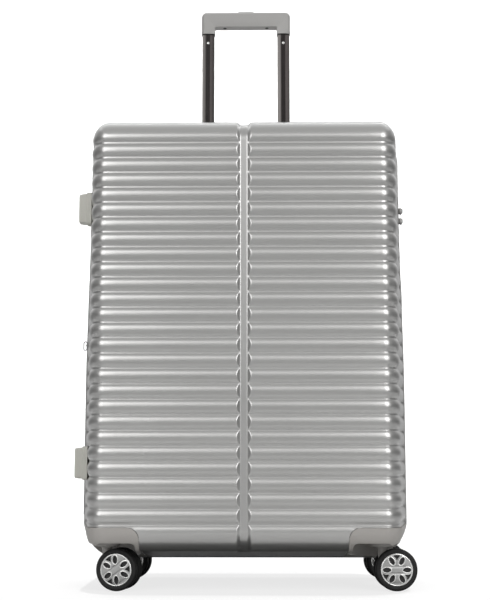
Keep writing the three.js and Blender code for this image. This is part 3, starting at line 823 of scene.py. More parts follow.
def caster(k):
    sx = -1 if "left" in k else 1
    sy = -1 if "front" in k else 1
    yaw = math.radians(YAWS[k])
    trail = Vector((math.cos(yaw), math.sin(yaw), 0))
    axle = Vector((-math.sin(yaw), math.cos(yaw), 0))
    sw = Vector((sx * SWX, sy * SWY, 0))
    centre = sw + trail * 20 + Vector((0, 0, 32))
    # the swivel plate, its neck and the web between the wheels
    plate = lathe("f1", [(0, 66.3), (17.5, 66.3), (19.8, 67.2), (20.8, 68.6), (20.8, 71.4), (20.2, 72.2), (14, 72.4), (13.6, 73.0), (7.6, 73.0),
                         (6.0, 73.6), (6.0, 87.2), (5.2, 88.0), (0, 88.0)], sw, (0, 0, 1), 56, M_FORK, 35)
    outline = [(-6.4, 67.5), (-6.7, 56), (-5.2, 47), (-1.5, 37), (5.0, 28), (13.0, 22.6), (20.5, 21.0), (27.5, 23.6), (31.6, 29.5), (31.4, 37),
               (27, 45), (21, 51.0), (17.5, 57), (16.6, 67.5)]
    rings = []
    for h, inset in ((-4.2, 0.9), (-3.9, 0.35), (-3.3, 0.0), (3.3, 0.0), (3.9, 0.35), (4.2, 0.9)):
        c = (12.0, 46.0)
        ring_pts = []
        for t, z in outline:
            d = math.hypot(t - c[0], z - c[1])
            f = (d - inset) / d
            p = sw + trail * (c[0] + (t - c[0]) * f) + axle * h
            ring_pts.append((p.x, p.y, c[1] + (z - c[1]) * f))
        rings.append(ring_pts)
    web = loft("f2", rings, M_FORK, 40)
    neck = lathe("f3", [(0, 52), (5.2, 52), (7.4, 55), (8.2, 60), (9.4, 64.5), (11.5, 66.8), (0, 66.8)], sw + trail * 1.0, (0, 0, 1), 40, M_FORK, 40)
    boss = lathe("f4", [(3.3, -4.75), (7.4, -4.75), (8.0, -4.2), (8.0, 4.2), (7.4, 4.75), (3.3, 4.75)], centre, axle, 40, M_FORK, 35)
    fork = join("caster_fork_" + k + "_body", [plate, web, neck, boss])
    put(fork, "caster_fork_" + k, slot="guard")
    ax = lathe("caster_axle_" + k + "_pin", [(0, -14.8), (2.4, -14.8), (3.15, -14.1), (3.15, 14.1), (2.4, 14.8), (0, 14.8)], centre, axle, 32, M_STEEL, 35)
    put(ax, "caster_axle_" + k, slot="steel")
    for x, s in (("a", -1), ("b", 1)):
        c = centre + axle * (11.55 * s)
        out = axle * s
        tyre = lathe("tyre_" + k + "_" + x + "_tread", TYRE, c, out, 96, M_TYRE, 42)
        put(tyre, "tyre_" + k + "_" + x, slot="tyre")
        # the drum behind the cap is near-black: black plastic plus painted shade in the window pockets
        drum = lathe("h1", [(3.35, -5.6), (8, -5.6), (8.6, -4.6), (22.0, -4.6), (23.4, -5.7), (25.05, -5.7), (25.05, 4.2), (24.0, 4.2), (23.2, 3.1), (3.35, 3.1)],
                     c, out, 72, M_HUB_POCKET_SHADE, 35)
        rot = math.radians(TURN[k]) if x == "a" else math.radians(TURN[k] + 23)
        obs = [drum]
        for i, (v, f) in enumerate(place_cap(CAP, c + out * 4.55, out, rot)):
            # the cap face takes the hub silver; the raised ring and rims take the paler copy, a painted highlight
            o = new_mesh("h%d" % (i + 2), v, f, M_HUB if i == 0 else M_HUB_RIM_PAINTED_HIGHLIGHT)
            smooth_shade(o, 40)
            obs.append(o)
        hub = join("wheel_hub_" + k + "_" + x + "_cap", obs)
        put(hub, "wheel_hub_" + k + "_" + x, slot="hub")


for k in ("front_left", "front_right", "rear_left", "rear_right"):
    caster(k)


# ------------------------------------------------------------------ trolley
def grip_outline(io, ii):
    r = 9.0
    pts = [(-80 + io, 959)]
    for k in range(9):
        t = math.pi - math.pi / 2 * k / 8
        pts.append((-80 + r + (r - io) * math.cos(t), 1000 - r + (r - io) * math.sin(t)))
    for k in range(9):
        t = math.pi / 2 - math.pi / 2 * k / 8
        pts.append((80 - r + (r - io) * math.cos(t), 1000 - r + (r - io) * math.sin(t)))
    pts += [(80 - io, 959), (56 + ii, 959), (56 + ii, 968.6 + ii), (54.6 - ii * 0.2, 970 + ii), (-54.6 + ii * 0.2, 970 + ii), (-56 - ii, 968.6 + ii), (-56 - ii, 959)]
    return [(x, z + 2.6 + (1.4 if 965 < z < 980 else 0)) for x, z in pts]


def grip_body():
    half, ro, ri = 9.5, 6.5, 1.3
    ds = [0, 0.25, 0.7, 1.3, 2.1, 3.2, 4.6, 6.5]
    rings = []
    for s in (-1, 1):
        for d in (ds if s < 0 else ds[::-1]):
            io = ro - math.sqrt(max(0.0, ro * ro - (ro - d) ** 2))
            io = min(io, 4.6)
            ii = 0.0 if d >= ri else ri - math.sqrt(max(0.0, ri * ri - (ri - d) ** 2))
            rings.append([(x, TROLLEY_Y + s * (half - d), z) for x, z in grip_outline(io, ii)])
    return loft("grip_core", rings, M_GRIP, 30)


def make_trolley():
    g = grip_body()
    # the button's recess, and the parting line round the grip
    slot_cut = loft("slot", [[(x, y, z) for x, y in rounded_rect(-15.4, 15.4, TROLLEY_Y - 4.9, TROLLEY_Y + 4.9, 4.0, 5)] for z in (994.0, 1006.0)], None, None)
    g = boolean(g, slot_cut, "DIFFERENCE")
    seam = block("seam", -90, 90, TROLLEY_Y - 0.22, TROLLEY_Y + 0.22, 1001.5, 1012)
    g = boolean(g, seam, "DIFFERENCE")
    smooth_shade(g, 30)
    parts = [g]
    for x in (-38, 38):                                     # moulding plugs under the bar
        parts.append(lathe("plug", [(0, -0.9), (2.6, -0.9), (3.0, -0.5), (3.0, 0.6), (0, 0.6)], (x, TROLLEY_Y - 2, 974.0), (0, 0, 1), 28, M_DARK, 35))
    for s in (-1, 1):                                       # collar where each tube enters the grip
        for y0 in (959.0,):
            pts = rounded_rect(s * TUBE_X - 11.1, s * TUBE_X + 11.1, TROLLEY_Y - 6.9, TROLLEY_Y + 6.9, 3.2, 4)
            parts.append(loft("collar", [[(x, y, z) for x, y in pts] for z in (961.2, 963.4)], M_DARK, 30))
    put(join("trolley_grip_shell", parts), "trolley_grip", slot="grip")
    rings = []
    for z, k in ((990.6, 0), (1003.4, 0), (1004.6, 0.35), (1005.1, 0.95), (1005.3, 2.2)):
        rings.append([(x, y, z) for x, y in rounded_rect(-14.4 + k, 14.4 - k, TROLLEY_Y - 4 + k * 0.8, TROLLEY_Y + 4 - k * 0.8, 3.4 - k * 0.6, 5)])
    top = loft("button_top", rings, M_BUTTON, 40)
    bar = block("button_bar", -74, 74, TROLLEY_Y - 4, TROLLEY_Y + 4, 983, 987, M_DARK, 0.6)
    stem = block("button_stem", -9, 9, TROLLEY_Y - 2.6, TROLLEY_Y + 2.6, 986.5, 991.2, M_DARK, 0.4)
    put(join("push_button_cap", [top, bar, stem]), "push_button", slot="grip")
    # tubes: a ridged oval section; the front faces left of each tube's middle take a paler copy of the gunmetal, a
    # painted highlight, so the front shows a lighter band beside a darker one
    w, d = 10.8, 6.25
    sec = [(-w, d - 3.6), (-w + 0.6, d - 1.9), (-4.6, d - 0.45), (-4.0, d), (2.8, d), (3.4, d - 0.3), (w - 0.8, d - 1.2), (w, d - 3.0)]
    back = [(w, -d + 3.0), (w - 0.9, -d + 0.9), (w - 3.0, -d), (-w + 3.0, -d), (-w + 0.9, -d + 0.9), (-w, -d + 3.0)]
    section = sec + back
    for side, s in (("left", -1), ("right", 1)):
        rings = [[(s * TUBE_X + x, TROLLEY_Y - y, z) for x, y in section] for z in (640.0, 975.0)]
        tube = loft("tube", rings, M_TUBE, 26)
        tube.data.materials.append(M_TUBE_PAINTED_HIGHLIGHT)
        # front faces on the left of the tube take the paler metal: a painted highlight
        for p in tube.data.polygons:
            if p.center.x * 1000 - OX < s * TUBE_X - 4.2 and p.normal.y < -0.5:
                p.material_index = 1
        rivet = lathe("rivet", [(0, 0.2), (1.2, 0.75), (2.1, 0.6), (2.6, 0.1), (2.6, -1.2), (0, -1.2)], (s * TUBE_X - 0.4, TROLLEY_Y - d + 0.5, 945.0), (0, -1, 0), 28, M_STEEL, 50)
        cuff = loft("cuff", [[(s * TUBE_X + x, y, z) for x, y in rounded_rect(-11.4, 11.4, TROLLEY_Y - 7.0, TROLLEY_Y + 7.0, 3.4, 4)] for z in (640.0, 668.0)], M_DARK, 30)
        put(join("inner_tube_%s_ridged" % side, [tube, rivet, cuff]), "inner_tube_" + side, slot="tube")


make_trolley()


def make_bezel():
    """The tray the grip drops into, following the case's rear shoulder."""
    b = loft("bezel_block", [[(x, y, z) for x, y in rounded_rect(-92, 92, 103, 141, 5.0, 6)] for z in (699.5, 752)], None, None)
    b = boolean(b, filled("bezel_trim", 2.0, cols=[-150, -95, -60, -20, 20, 60, 95, 150]), "INTERSECT")
    b = boolean(b, loft("rec", [[(x, y, z) for x, y in rounded_rect(-82.0, 82.0, 111.0, 133.0, 5.0, 6)] for z in (717.5, 760)], None, None), "DIFFERENCE")
    for s in (-1, 1):
        x0, x1 = sorted((s * 54.5, s * 82.0))
        b = boolean(b, loft("pk", [[(x, y, z) for x, y in rounded_rect(x0, x1, 111.0, 133.0, 5.0, 6)] for z in (707.8, 740)], None, None), "DIFFERENCE")
        b = boolean(b, loft("hole", [[(s * TUBE_X + x, y, z) for x, y in rounded_rect(-11.5, 11.5, TROLLEY_Y - 7.0, TROLLEY_Y + 7.0, 3.2, 5)] for z in (690, 712)], None, None), "DIFFERENCE")
    b.data.materials.clear()
    b.data.materials.append(M_GUARD)
    for p in b.data.polygons:
        p.material_index = 0
    bevel(b, 0.7, 2, 40)
    smooth_shade(b, 35)
    b.name = "trolley_bezel_tray"
    put(b, "trolley_bezel", slot="guard")
    cut = loft("bezel_cut", [[(x, y, z) for x, y in rounded_rect(-91.4, 91.4, 103.6, 140.4, 4.6, 6)] for z in (699, 770)], None, None)
    return cut


bezel_cut = make_bezel()
boolean(rear_shell, bezel_cut, "DIFFERENCE")
smooth_shade(rear_shell, 50)


# ------------------------------------------------------------------ the rim line, for tapes and teeth
def rim_path(d, off=0.0, step=4.0, gap=None):
    """Evenly spaced points (x, z) and outward normals round the case at depth d; gap=(z0, z1) leaves the left side open."""
    t = (ID - d) / (ID - RIM)

    def fx(z):
        return FLARE_X - 5.0 * float(smooth(300, 640, z))

    def corner(sx, sz, th):
        c, s = math.cos(th), math.sin(th)
        soft = 1 - 0.25 * math.sin(2 * th)
        zb = IZC + sz * (IZH + R * s)
        return sx * (IX + (RX + fx(zb) * t * soft) * c), IZC + sz * (IZH + (R + FLARE_Z * t * soft) * s)

    def side(sx, z):
        return sx * (IX + RX + fx(z) * t), z

    z0, z1 = IZC - IZH, IZC + IZH
    g0, g1 = gap or (IZC, IZC)
    q = np.linspace(0, math.pi / 2, 30)
    pts = [side(-1, z) for z in np.linspace(g0, z0, 40)[:-1]]
    pts += [corner(-1, -1, a) for a in q] + [corner(1, -1, a) for a in q[::-1]]
    pts += [side(1, z) for z in np.linspace(z0, z1, 120)[1:-1]]
    pts += [corner(1, 1, a) for a in q] + [corner(-1, 1, a) for a in q[::-1]]
    pts += [side(-1, z) for z in np.linspace(z1, g1, 60)[1:]]
    p = np.array(pts)
    seg = np.hypot(*np.diff(p, axis=0).T)
    keep = np.concatenate([[True], seg > 1e-6])
    p = p[keep]
    seg = np.hypot(*np.diff(p, axis=0).T)
    acc = np.concatenate([[0], np.cumsum(seg)])
    n = int(acc[-1] / step)
    u = np.linspace(0, acc[-1], n + 1)
    if gap is None:
        u = u[:-1]
    x, z = np.interp(u, acc, p[:, 0]), np.interp(u, acc, p[:, 1])
    if gap is None:
        dx, dz = np.roll(x, -1) - np.roll(x, 1), np.roll(z, -1) - np.roll(z, 1)
    else:
        dx, dz = np.gradient(x), np.gradient(z)
    L = np.hypot(dx, dz)
    tx, tz = dx / L, dz / L
    nx, nz = tz, -tx
    return x + nx * off, z + nz * off, nx, nz, tx, tz


def band(name, d, ys, bs, mat, gap=None, step=4.0, off=0.0):
    """A strip of rectangular section: y from ys, height above the rim line from bs."""
    x, z, nx, nz, _, _ = rim_path(d, off, step, gap)
    (y0, y1), (b0, b1) = ys, bs
    e = min(0.3, (b1 - b0) / 2, (y1 - y0) / 4)
    sec = [(y0, b0), (y1, b0), (y1, b1 - e), (y1 - e, b1), (y0 + e, b1), (y0, b1 - e)]
    rings = [[(x[i] + nx[i] * b, y, z[i] + nz[i] * b) for y, b in sec] for i in range(len(x))]
    return loft(name, rings, mat, 35, caps=gap is not None, closed=gap is None)


def teeth(name, d, y0, y1, b, mat, gap=None, pitch=3.2, phase=0.0, off=0.0):
    """A row of zip teeth across y0..y1, y1 being the locking side."""
    x, z, nx, nz, tx, tz = rim_path(d, off, pitch, gap)
    n = len(x)
    hexa = [(-0.85, 0.0), (-0.72, 0.85), (-0.35, 1.25), (0.35, 1.25), (0.72, 0.85), (0.85, 0.0)]
    v = np.zeros((n, 12, 3))
    for j, (a, h) in enumerate(hexa):
        for e, y in ((0, y0), (1, y1)):
            k = 0.92 if e == 0 else 1.0
            s = a * k + phase * pitch
            v[:, e * 6 + j, 0] = x + tx * s + nx * (b + h * k)
            v[:, e * 6 + j, 1] = y
            v[:, e * 6 + j, 2] = z + tz * s + nz * (b + h * k)
    faces = []
    for i in range(n):
        o = i * 12
        for j in range(6):
            k = (j + 1) % 6
            faces.append([o + j, o + k, o + 6 + k, o + 6 + j])
        faces.append([o + 5, o + 4, o + 3, o + 2, o + 1, o])
        faces.append([o + 6, o + 7, o + 8, o + 9, o + 10, o + 11])
    ob = outward(new_mesh(name, v.reshape(-1, 3), faces, mat))
    smooth_shade(ob, 40)
    return ob


GAP = (112, 676)
for side, s in (("front", -1), ("rear", 1)):
    y = sorted((s * 0.5, s * 4.2))
    tape = band("t1", RIM, y, (-1.7, -0.75), M_TAPE, GAP)
    cord = band("t2", RIM, sorted((s * 2.3, s * 3.3)), (-0.8, 0.2), M_TAPE, GAP)
    row = teeth("t3", RIM, s * 2.5, -s * 0.45, -0.8, M_TOOTH, GAP, phase=0.0 if s < 0 else 0.5)
    put(join("%s_zipper_tape_and_teeth" % side, [tape, cord, row]), "%s_zipper_tape" % side, slot="tape")

ex = [band("e1", 8.0, (5.5, 10.4), (-0.7, 0.42), M_TAPE),
      teeth("e2", 8.0, 5.9, 8.35, 0.36, M_TOOTH), teeth("e3", 8.0, 10.0, 7.65, 0.36, M_TOOTH, phase=0.5)]
ex = join("expander_chain", ex)
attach(ex, "case")


# ------------------------------------------------------------------ hinge gusset
def gusset():
    ys = [-3.9, -3.3, -2.2, -1.1, 0, 1.1, 2.2, 3.3, 3.9]
    verts, faces = [], []
    zs = np.linspace(110.5, 677.5, 190)
    def fx(z):
        return FLARE_X - 5.0 * float(smooth(300, 640, z))
    for z in zs:
        for y in ys:
            x = -(IX + RX + fx(z)) + (0.35 * math.cos(math.pi * y / 1.1)) - 0.4
            verts.append((x, y, z))
    n = len(ys)
    for i in range(len(zs) - 1):
        for j in range(n - 1):
            a = i * n + j
            faces.append([a, a + 1, a + n + 1, a + n])
    ob = new_mesh("hinge_gusset_fabric", verts, faces, M_TAPE)
    m = ob.modifiers.new("s", "SOLIDIFY")
    m.thickness, m.offset = 0.0011, 0
    bake_mods(ob)
    outward(ob)
    smooth_shade(ob, 45)
    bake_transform(ob)
    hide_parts("hinge_gusset")


gusset()


# ------------------------------------------------------------------ zip sliders, pull tabs, expander puller
def slider(name, z):
    body = loft("a", [[(x, y, zz) for y, zz in pts] for x, pts in (
        (254.0, rounded_rect(-3.0, 3.0, z - 4.4, z + 4.4, 1.8, 4)), (258.2, rounded_rect(-3.6, 3.6, z - 5, z + 5, 2.0, 4)), (260.4, rounded_rect(-3.6, 3.6, z - 5, z + 5, 2.0, 4)),
        (261.0, rounded_rect(-3.2, 3.2, z - 4.6, z + 4.6, 1.9, 4)))], M_ZIPMETAL, 35)
    path = [(261.0, 0, z - 3.6), (262.0, 0, z - 3.3), (262.6, 0, z - 2.3), (262.7, 0, z), (262.6, 0, z + 2.3), (262.0, 0, z + 3.3), (261.0, 0, z + 3.6)]
    bridge = sweep("b", path, [(1.5, -0.45), (1.5, 0.45), (-1.5, 0.45), (-1.5, -0.45)], M_ZIPMETAL, normals=[(1, 0, 0)] * 7)
    return join(name, [body, bridge])


def tab(name, z):
    out = rounded_rect(4.6, 20.8, z - 3.3, z + 3.3, 2.6, 5)
    rings = [[(x, yc + (y - yc) * k, z + (zz - z) * k) for y, zz in out] for x, k in ((261.15, 0.955), (261.35, 1.0), (262.2, 1.0), (262.4, 0.955)) for yc in (12.7,)]
    t = loft("a", rings, M_ZIPMETAL, 35)
    hole = loft("h", [[(x, y, zz) for y, zz in rounded_rect(14.6, 18.6, z - 1.5, z + 1.5, 1.4, 5)] for x in (258, 264)], None, None)
    t = boolean(t, hole, "DIFFERENCE")
    rib = block("r", 262.2, 262.6, 8.2, 12.4, z - 1.6, z + 1.6, M_ZIPMETAL, 0.15, 2)
    link = sweep("l", [(261.5, 1.4, z + 1.5), (261.9, 3.6, z + 1.7), (261.8, 5.4, z + 1.5), (261.8, 5.8, z), (261.8, 5.4, z - 1.5), (261.9, 3.6, z - 1.7), (261.5, 1.4, z - 1.5)],
                 [(0.5 * math.cos(a), 0.5 * math.sin(a)) for a in np.linspace(0, 2 * math.pi, 9)[:-1]], M_ZIPMETAL, normals=[(1, 0, 0)] * 7)
    smooth_shade(t, 35)
    return join(name, [t, rib, link])


for key, z in (("upper", 610.0), ("lower", 593.0)):
    put(slider("zip_slider_%s_cast" % key, z), "zip_slider_" + key, slot="zip_metal")
    put(tab("zip_pull_tab_%s_cast" % key, z), "zip_pull_tab_" + key, slot="zip_metal")


def expander_puller():
    body = loft("a", [[(x, 10 + y, zz) for y, zz in pts] for x, pts in (
        (-258.4, rounded_rect(-4, 4, 378, 388, 1.8, 4)), (-262.0, rounded_rect(-4, 4, 378, 388, 1.8, 4)), (-262.6, rounded_rect(-3.5, 3.5, 378.5, 387.5, 1.8, 4)))], M_ZIPMETAL, 35)
    loop = [(-262.4 - 0.72 * u, 9.5 + 0.7 * u, z) for u, z in rounded_rect(0.0, 8.6, 378.8, 393.0, 3.2, 6)]     # stands off at a slant
    ring = sweep("b", loop, [(0.75 * math.cos(a), 0.75 * math.sin(a)) for a in np.linspace(0, 2 * math.pi, 11)[:-1]], M_ZIPMETAL, closed=True, normals=[(0.7, 0.72, 0)] * len(loop))
    lug = block("c", -264.2, -262.2, 8.4, 11.6, 385.5, 387.6, M_ZIPMETAL, 0.4)
    put(join("expander_zip_slider_cast", [body, ring, lug]), "expander_zip_slider", slot="zip_metal")


expander_puller()


# ------------------------------------------------------------------ lock
def lock():
    plate = loft("a", [[(x, y, z) for y, z in pts] for x, pts in (
        (244.5, rounded_rect(19.5, 48.5, 553, 647, 6, 6)), (256.6, rounded_rect(19.5, 48.5, 553, 647, 6, 6)), (257.4, rounded_rect(20.3, 47.7, 553.8, 646.2, 5.4, 6)))], M_DARK, 35)
    body = loft("b", [[(x, y, z) for y, z in pts] for x, pts in (
        (246, rounded_rect(22, 46, 558, 642, 5, 6)), (258.5, rounded_rect(22, 46, 558, 642, 5, 6)), (259.0, rounded_rect(22.4, 45.6, 558.4, 641.6, 4.8, 6)),
        (259.2, rounded_rect(23.2, 44.8, 559.2, 640.8, 4.4, 6)))], M_GUARD, 30)
    for o in (plate, body):
        cuts = [block("c", 240, 270, 29.2, 38.8, 607.6, 635.4), cylinder("d", 7.7, 607.6, 635.4, 253, 34, 48),
                block("e", 252, 270, 29.4, 38.6, 575.4, 593.2), lathe("f", [(0, 251.0), (4.6, 251.0), (4.6, 270), (0, 270)], (0, 34, 567), (1, 0, 0), 40, None, None)]
        for c in cuts:
            boolean(o, c, "DIFFERENCE")
        smooth_shade(o, 30)
    inner = block("g", 246.2, 247.6, 26, 42, 562, 640, M_DARK, 0.3)
    put(join("lock_body_faced", [plate, body, inner]), "lock_body", slot="black_plastic")
    for i, zc in ((1, 631.0), (2, 621.5), (3, 612.0)):
        rings = []
        for h, k in ((-2.9, 0.9), (-2.6, 1.0), (2.6, 1.0), (2.9, 0.9)):
            ring = []
            for a in range(60):
                th = 2 * math.pi * a / 60
                r = (7.0 - (0.55 if a % 6 in (2, 3, 4) else 0.0)) * k
                ring.append((253 + r * math.cos(th), 34 + r * math.sin(th), zc + h))
            rings.append(ring)
        put(loft("lock_dial_%d_knurled" % i, rings, M_GRIP, 25), "lock_dial_%d" % i, slot="dial")
    sl = [block("a", 255.0, 260.0, 30, 38, 577, 587, M_DARK, 0.5)]
    for k in range(4):
        sl.append(block("r", 259.6, 260.6, 30.8, 37.2, 578.6 + 2.1 * k, 579.6 + 2.1 * k, M_DARK, 0.25))
    put(join("lock_release_slide_ribbed", sl), "lock_release_slide", slot="black_plastic")
    key = lathe("a", [(0, 252), (4.0, 252), (4.0, 258.9), (3.5, 259.3), (2.4, 259.3), (2.2, 259.0), (0, 259.0)], (0, 34, 567), (1, 0, 0), 40, M_STEEL, 35)
    ks = block("b", 257.6, 259.6, 33.6, 34.4, 565.0, 569.0)
    key = boolean(key, ks, "DIFFERENCE")
    smooth_shade(key, 35)
    key.name = "lock_key_cylinder_slotted"
    put(key, "lock_key_cylinder", slot="steel")


lock()


# ------------------------------------------------------------------ carry handles
def carry_handle(name, node, place, body_trim):
    """place(u, y, n): u along the handle, y across, n out from the wall."""
    rings = []
    us = [-105, -104.6, -103.6, -101.5, -98, -92] + list(np.linspace(-84, 84, 85)) + [92, 98, 101.5, 103.6, 104.6, 105]
    for u in us:
        a = abs(u)
        e = math.sqrt(max(0.0, 1 - (max(0.0, a - 96) / 9.05) ** 2))
        hw = (13.0 - 2.6 * float(smooth(62, 100, a))) * (0.62 + 0.38 * e)
        hh = (4.0 - 0.4 * float(smooth(62, 100, a))) * (0.3 + 0.7 * e)
        if a < 60:
            hh -= 0.32 * (0.5 - 0.5 * math.cos(2 * math.pi * u / 8.0)) * (1 - float(smooth(50, 60, a)))
        c = 10.5 + 0.6 * math.cos(math.pi * u / 210)
        ring = []
        for k in range(28):
            th = 2 * math.pi * k / 28
            cx, sx = math.cos(th), math.sin(th)
            y = 52 + hw * math.copysign(abs(cx) ** 0.75, cx)
            n = c - 0.6 + hh * math.copysign(abs(sx) ** 0.8, sx)
            ring.append(place(u, y, n))
        rings.append(ring)
    bar = loft("bar", rings, M_DARK, 40)
    parts = [bar]
    for s in (-1, 1):
        pts = rounded_rect(s * 88 - 6, s * 88 + 6, 45, 59, 2.5, 4)
        parts.append(loft("leg", [[place(u, y, n) for u, y in pts] for n in (-16, 8.0)], M_DARK, 35))
        foot = rounded_rect(s * 88 - 10, s * 88 + 10, 42, 62, 3, 4)
        parts.append(loft("stop", [[place(u, y, n) for u, y in foot] for n in (-28, -25.6)], M_DARK, 35))
        parts.append(loft("neck", [[place(u, y, n) for u, y in pts] for n in (-26.0, -15.5)], M_DARK, 35))
    put(join(name, parts), node, slot="black_plastic")
    trims = []
    for s in (-1, 1):
        outer = loft("o", [[place(s * 88 + (u - s * 88) * k, 52 + (y - 52) * k, n) for u, y in rounded_rect(s * 88 - 13, s * 88 + 13, 41, 63, 5, 5)]
                           for n, k in ((-1.5, 1.0), (1.2, 1.0), (1.9, 0.95))], M_GUARD, 30)
        hole = loft("h", [[place(u, y, n) for u, y in rounded_rect(s * 88 - 6.7, s * 88 + 6.7, 44.3, 59.7, 2.8, 4)] for n in (-8, 6)], None, None)
        outer = boolean(outer, hole, "DIFFERENCE")
        smooth_shade(outer, 30)
        trims.append(outer)
    t = join(body_trim, trims)
    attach(t, "case")


_tl, _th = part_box("top_carry_handle")
TOP_WALL = _th.z * 1000 - 14.5
_sl, _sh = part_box("side_carry_handle")
SIDE_WALL = _sh.x * 1000 - OX - 14.5
carry_handle("top_carry_handle_moulded", "top_carry_handle", lambda u, y, n: (u, y, TOP_WALL + n), "top_handle_surrounds")
carry_handle("side_carry_handle_moulded", "side_carry_handle", lambda u, y, n: (SIDE_WALL + n, y, 400 + u), "side_handle_surrounds")


# ------------------------------------------------------------------ side feet
def side_foot(name, s, z0, z1):
    y0, y1 = (57, 79) if s > 0 else (-79, -57)
    base = loft("a", [[(x, y, z) for y, z in rounded_rect(y0 - k, y1 + k, z0 - k, z1 + k, 4.0, 5)] for x, k in ((-246.0, 1.6), (-253.2, 1.6), (-254.4, 0.6))], M_FOOT, 30)
    mid = loft("b", [[(x, y, z) for y, z in rounded_rect(y0 + k, y1 - k, z0 + k, z1 - k, 4.0, 5)] for x, k in ((-252.0, 0.2), (-261.6, 0.4), (-262.3, 1.0))], M_FOOT, 30)
    cap = loft("c", [[(x, y, z) for y, z in rounded_rect(y0 + k, y1 - k, z0 + k, z1 - k, 3.6, 5)] for x, k in ((-261.8, 1.1), (-265.0, 1.1), (-266.1, 1.9), (-266.5, 3.2))], M_FOOT, 30)
    return join(name, [base, mid, cap])


for half, s in (("front", -1), ("rear", 1)):
    for lev, z0, z1 in (("upper", 575.5, 624.5), ("lower", 169.0, 218.0)):
        node = "side_foot_%s_%s" % (half, lev)
        put(side_foot(node + "_pad", s, z0, z1), node, slot="foot")


# ------------------------------------------------------------------ inside: lining, divider, straps
def mesh_area(ob):
    return sum(p.area for p in ob.data.polygons)


def soft_waves(x, y, z, amp, k=1.0):
    return amp * (math.sin(0.031 * k * x + 0.9) * math.sin(0.027 * k * z + 0.4) + 0.6 * math.sin(0.063 * k * (x + z) + 1.7) * math.sin(0.05 * k * (y - z) + 0.3))


def lining(name, s, back, body):
    """A sewn fabric liner: rings run from the rim in to the back panel, then close over it."""
    hw = [(6.4, 252.6), (9, 252.2), (13, 249), (20, 239), (28, 228), (38, 219.5), (60, 218.5), (84, 217.5)]
    zb = [(6.4, 51.5), (9, 52.5), (13, 57), (20, 76), (28, 91.5), (38, 93.5), (60, 95), (84, 96)]
    zt = [(6.4, 738.5), (9, 737), (13, 732), (20, 722), (28, 709), (38, 702.5), (60, 700.5), (84, 699)]
    prof = [(d, h, b[1], t[1]) for (d, h), b, t in zip(hw, zb, zt)]
    d0 = back - 22
    prof += [(d0, 216.5, 97, 697.5)]
    for a in (20, 45, 65, 80, 90):
        t = math.radians(a)
        prof.append((d0 + 22 * math.sin(t), 216.5 - 22 * (1 - math.cos(t)), 97 + 22 * (1 - math.cos(t)), 697.5 - 22 * (1 - math.cos(t))))
    rings = []
    for d, h, b, t in prof:
        r = 44 if d < 15 else 36
        ring = rounded_rect(-h, h, b, t, r, 6)
        dense = []
        for i, p in enumerate(ring):
            q = ring[(i + 1) % len(ring)]
            n = max(1, int(math.hypot(q[0] - p[0], q[1] - p[1]) / 22))
            dense += [(p[0] + (q[0] - p[0]) * k / n, p[1] + (q[1] - p[1]) * k / n) for k in range(n)]
        if rings and len(dense) != len(rings[0]):
            base = rings[0]
            acc = [0.0]
            for i, p in enumerate(dense):
                q = dense[(i + 1) % len(dense)]
                acc.append(acc[-1] + math.hypot(q[0] - p[0], q[1] - p[1]))
            xs = [p[0] for p in dense] + [dense[0][0]]
            zs = [p[1] for p in dense] + [dense[0][1]]
            u = [acc[-1] * i / len(base) for i in range(len(base))]
            dense = list(zip(np.interp(u, acc, xs), np.interp(u, acc, zs)))
        rings.append([(x, d, z) for x, z in dense])
    last = [(x, z) for x, _, z in rings[-1]]
    for k in (0.9, 0.75, 0.58, 0.4, 0.22, 0.08):
        rings.append([(x * k, back, 397 + (z - 397) * k) for x, z in last])
    out = []
    for j, ring in enumerate(rings):
        rr = []
        for x, d, z in ring:
            k = float(smooth(9, 40, d))
            dd = d - abs(soft_waves(x, d, z, 1.6)) * (1.0 if j > 13 else 0.0)
            sx = x - math.copysign(abs(soft_waves(d * 3, x, z, 1.4)) * k, x) if j <= 13 else x
            rr.append((sx, s * dd, z))
        out.append(rr)
    ob = loft(name, out, M_LINING, 60, caps=False)
    bm = bmesh.new()
    bm.from_mesh(ob.data)
    inner = [e for e in bm.edges if e.is_boundary and all(abs(v.co.x * 1000 - OX) < 60 for v in e.verts)]
    bmesh.ops.holes_fill(bm, edges=inner, sides=0)
    bmesh.ops.recalc_face_normals(bm, faces=bm.faces)
    bm.to_mesh(ob.data)
    bm.free()
    area = mesh_area(ob)
    m = ob.modifiers.new("s", "SOLIDIFY")
    m.thickness, m.offset = 0.0008, 0
    bake_mods(ob)
    smooth_shade(ob, 50)
    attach(ob, body)
    w, l = 0.80, 1.02
    while area > w * l:
        w, l = w * 1.05, l * 1.05
    return ob


lining("rear_lining", 1, 110.0, "case")
lining("front_lining", -1, 139.0, "front_half")


def piping(name, s, body):
    """A bound edge that covers where the lining meets the rim."""
    x, z, nx, nz, _, _ = rim_path(6.6, -3.6, 7.0)
    r = 1.9
    rings = [[(x[i] + nx[i] * r * math.cos(a), s * 6.3 + r * math.sin(a), z[i] + nz[i] * r * math.cos(a)) for a in np.linspace(0, 2 * math.pi, 11)[:-1]] for i in range(len(x))]
    ob = loft(name, rings, M_TAPE, 60, caps=False, closed=True)
    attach(ob, body)


piping("rear_rim_piping", 1, "case")
piping("front_rim_piping", -1, "front_half")


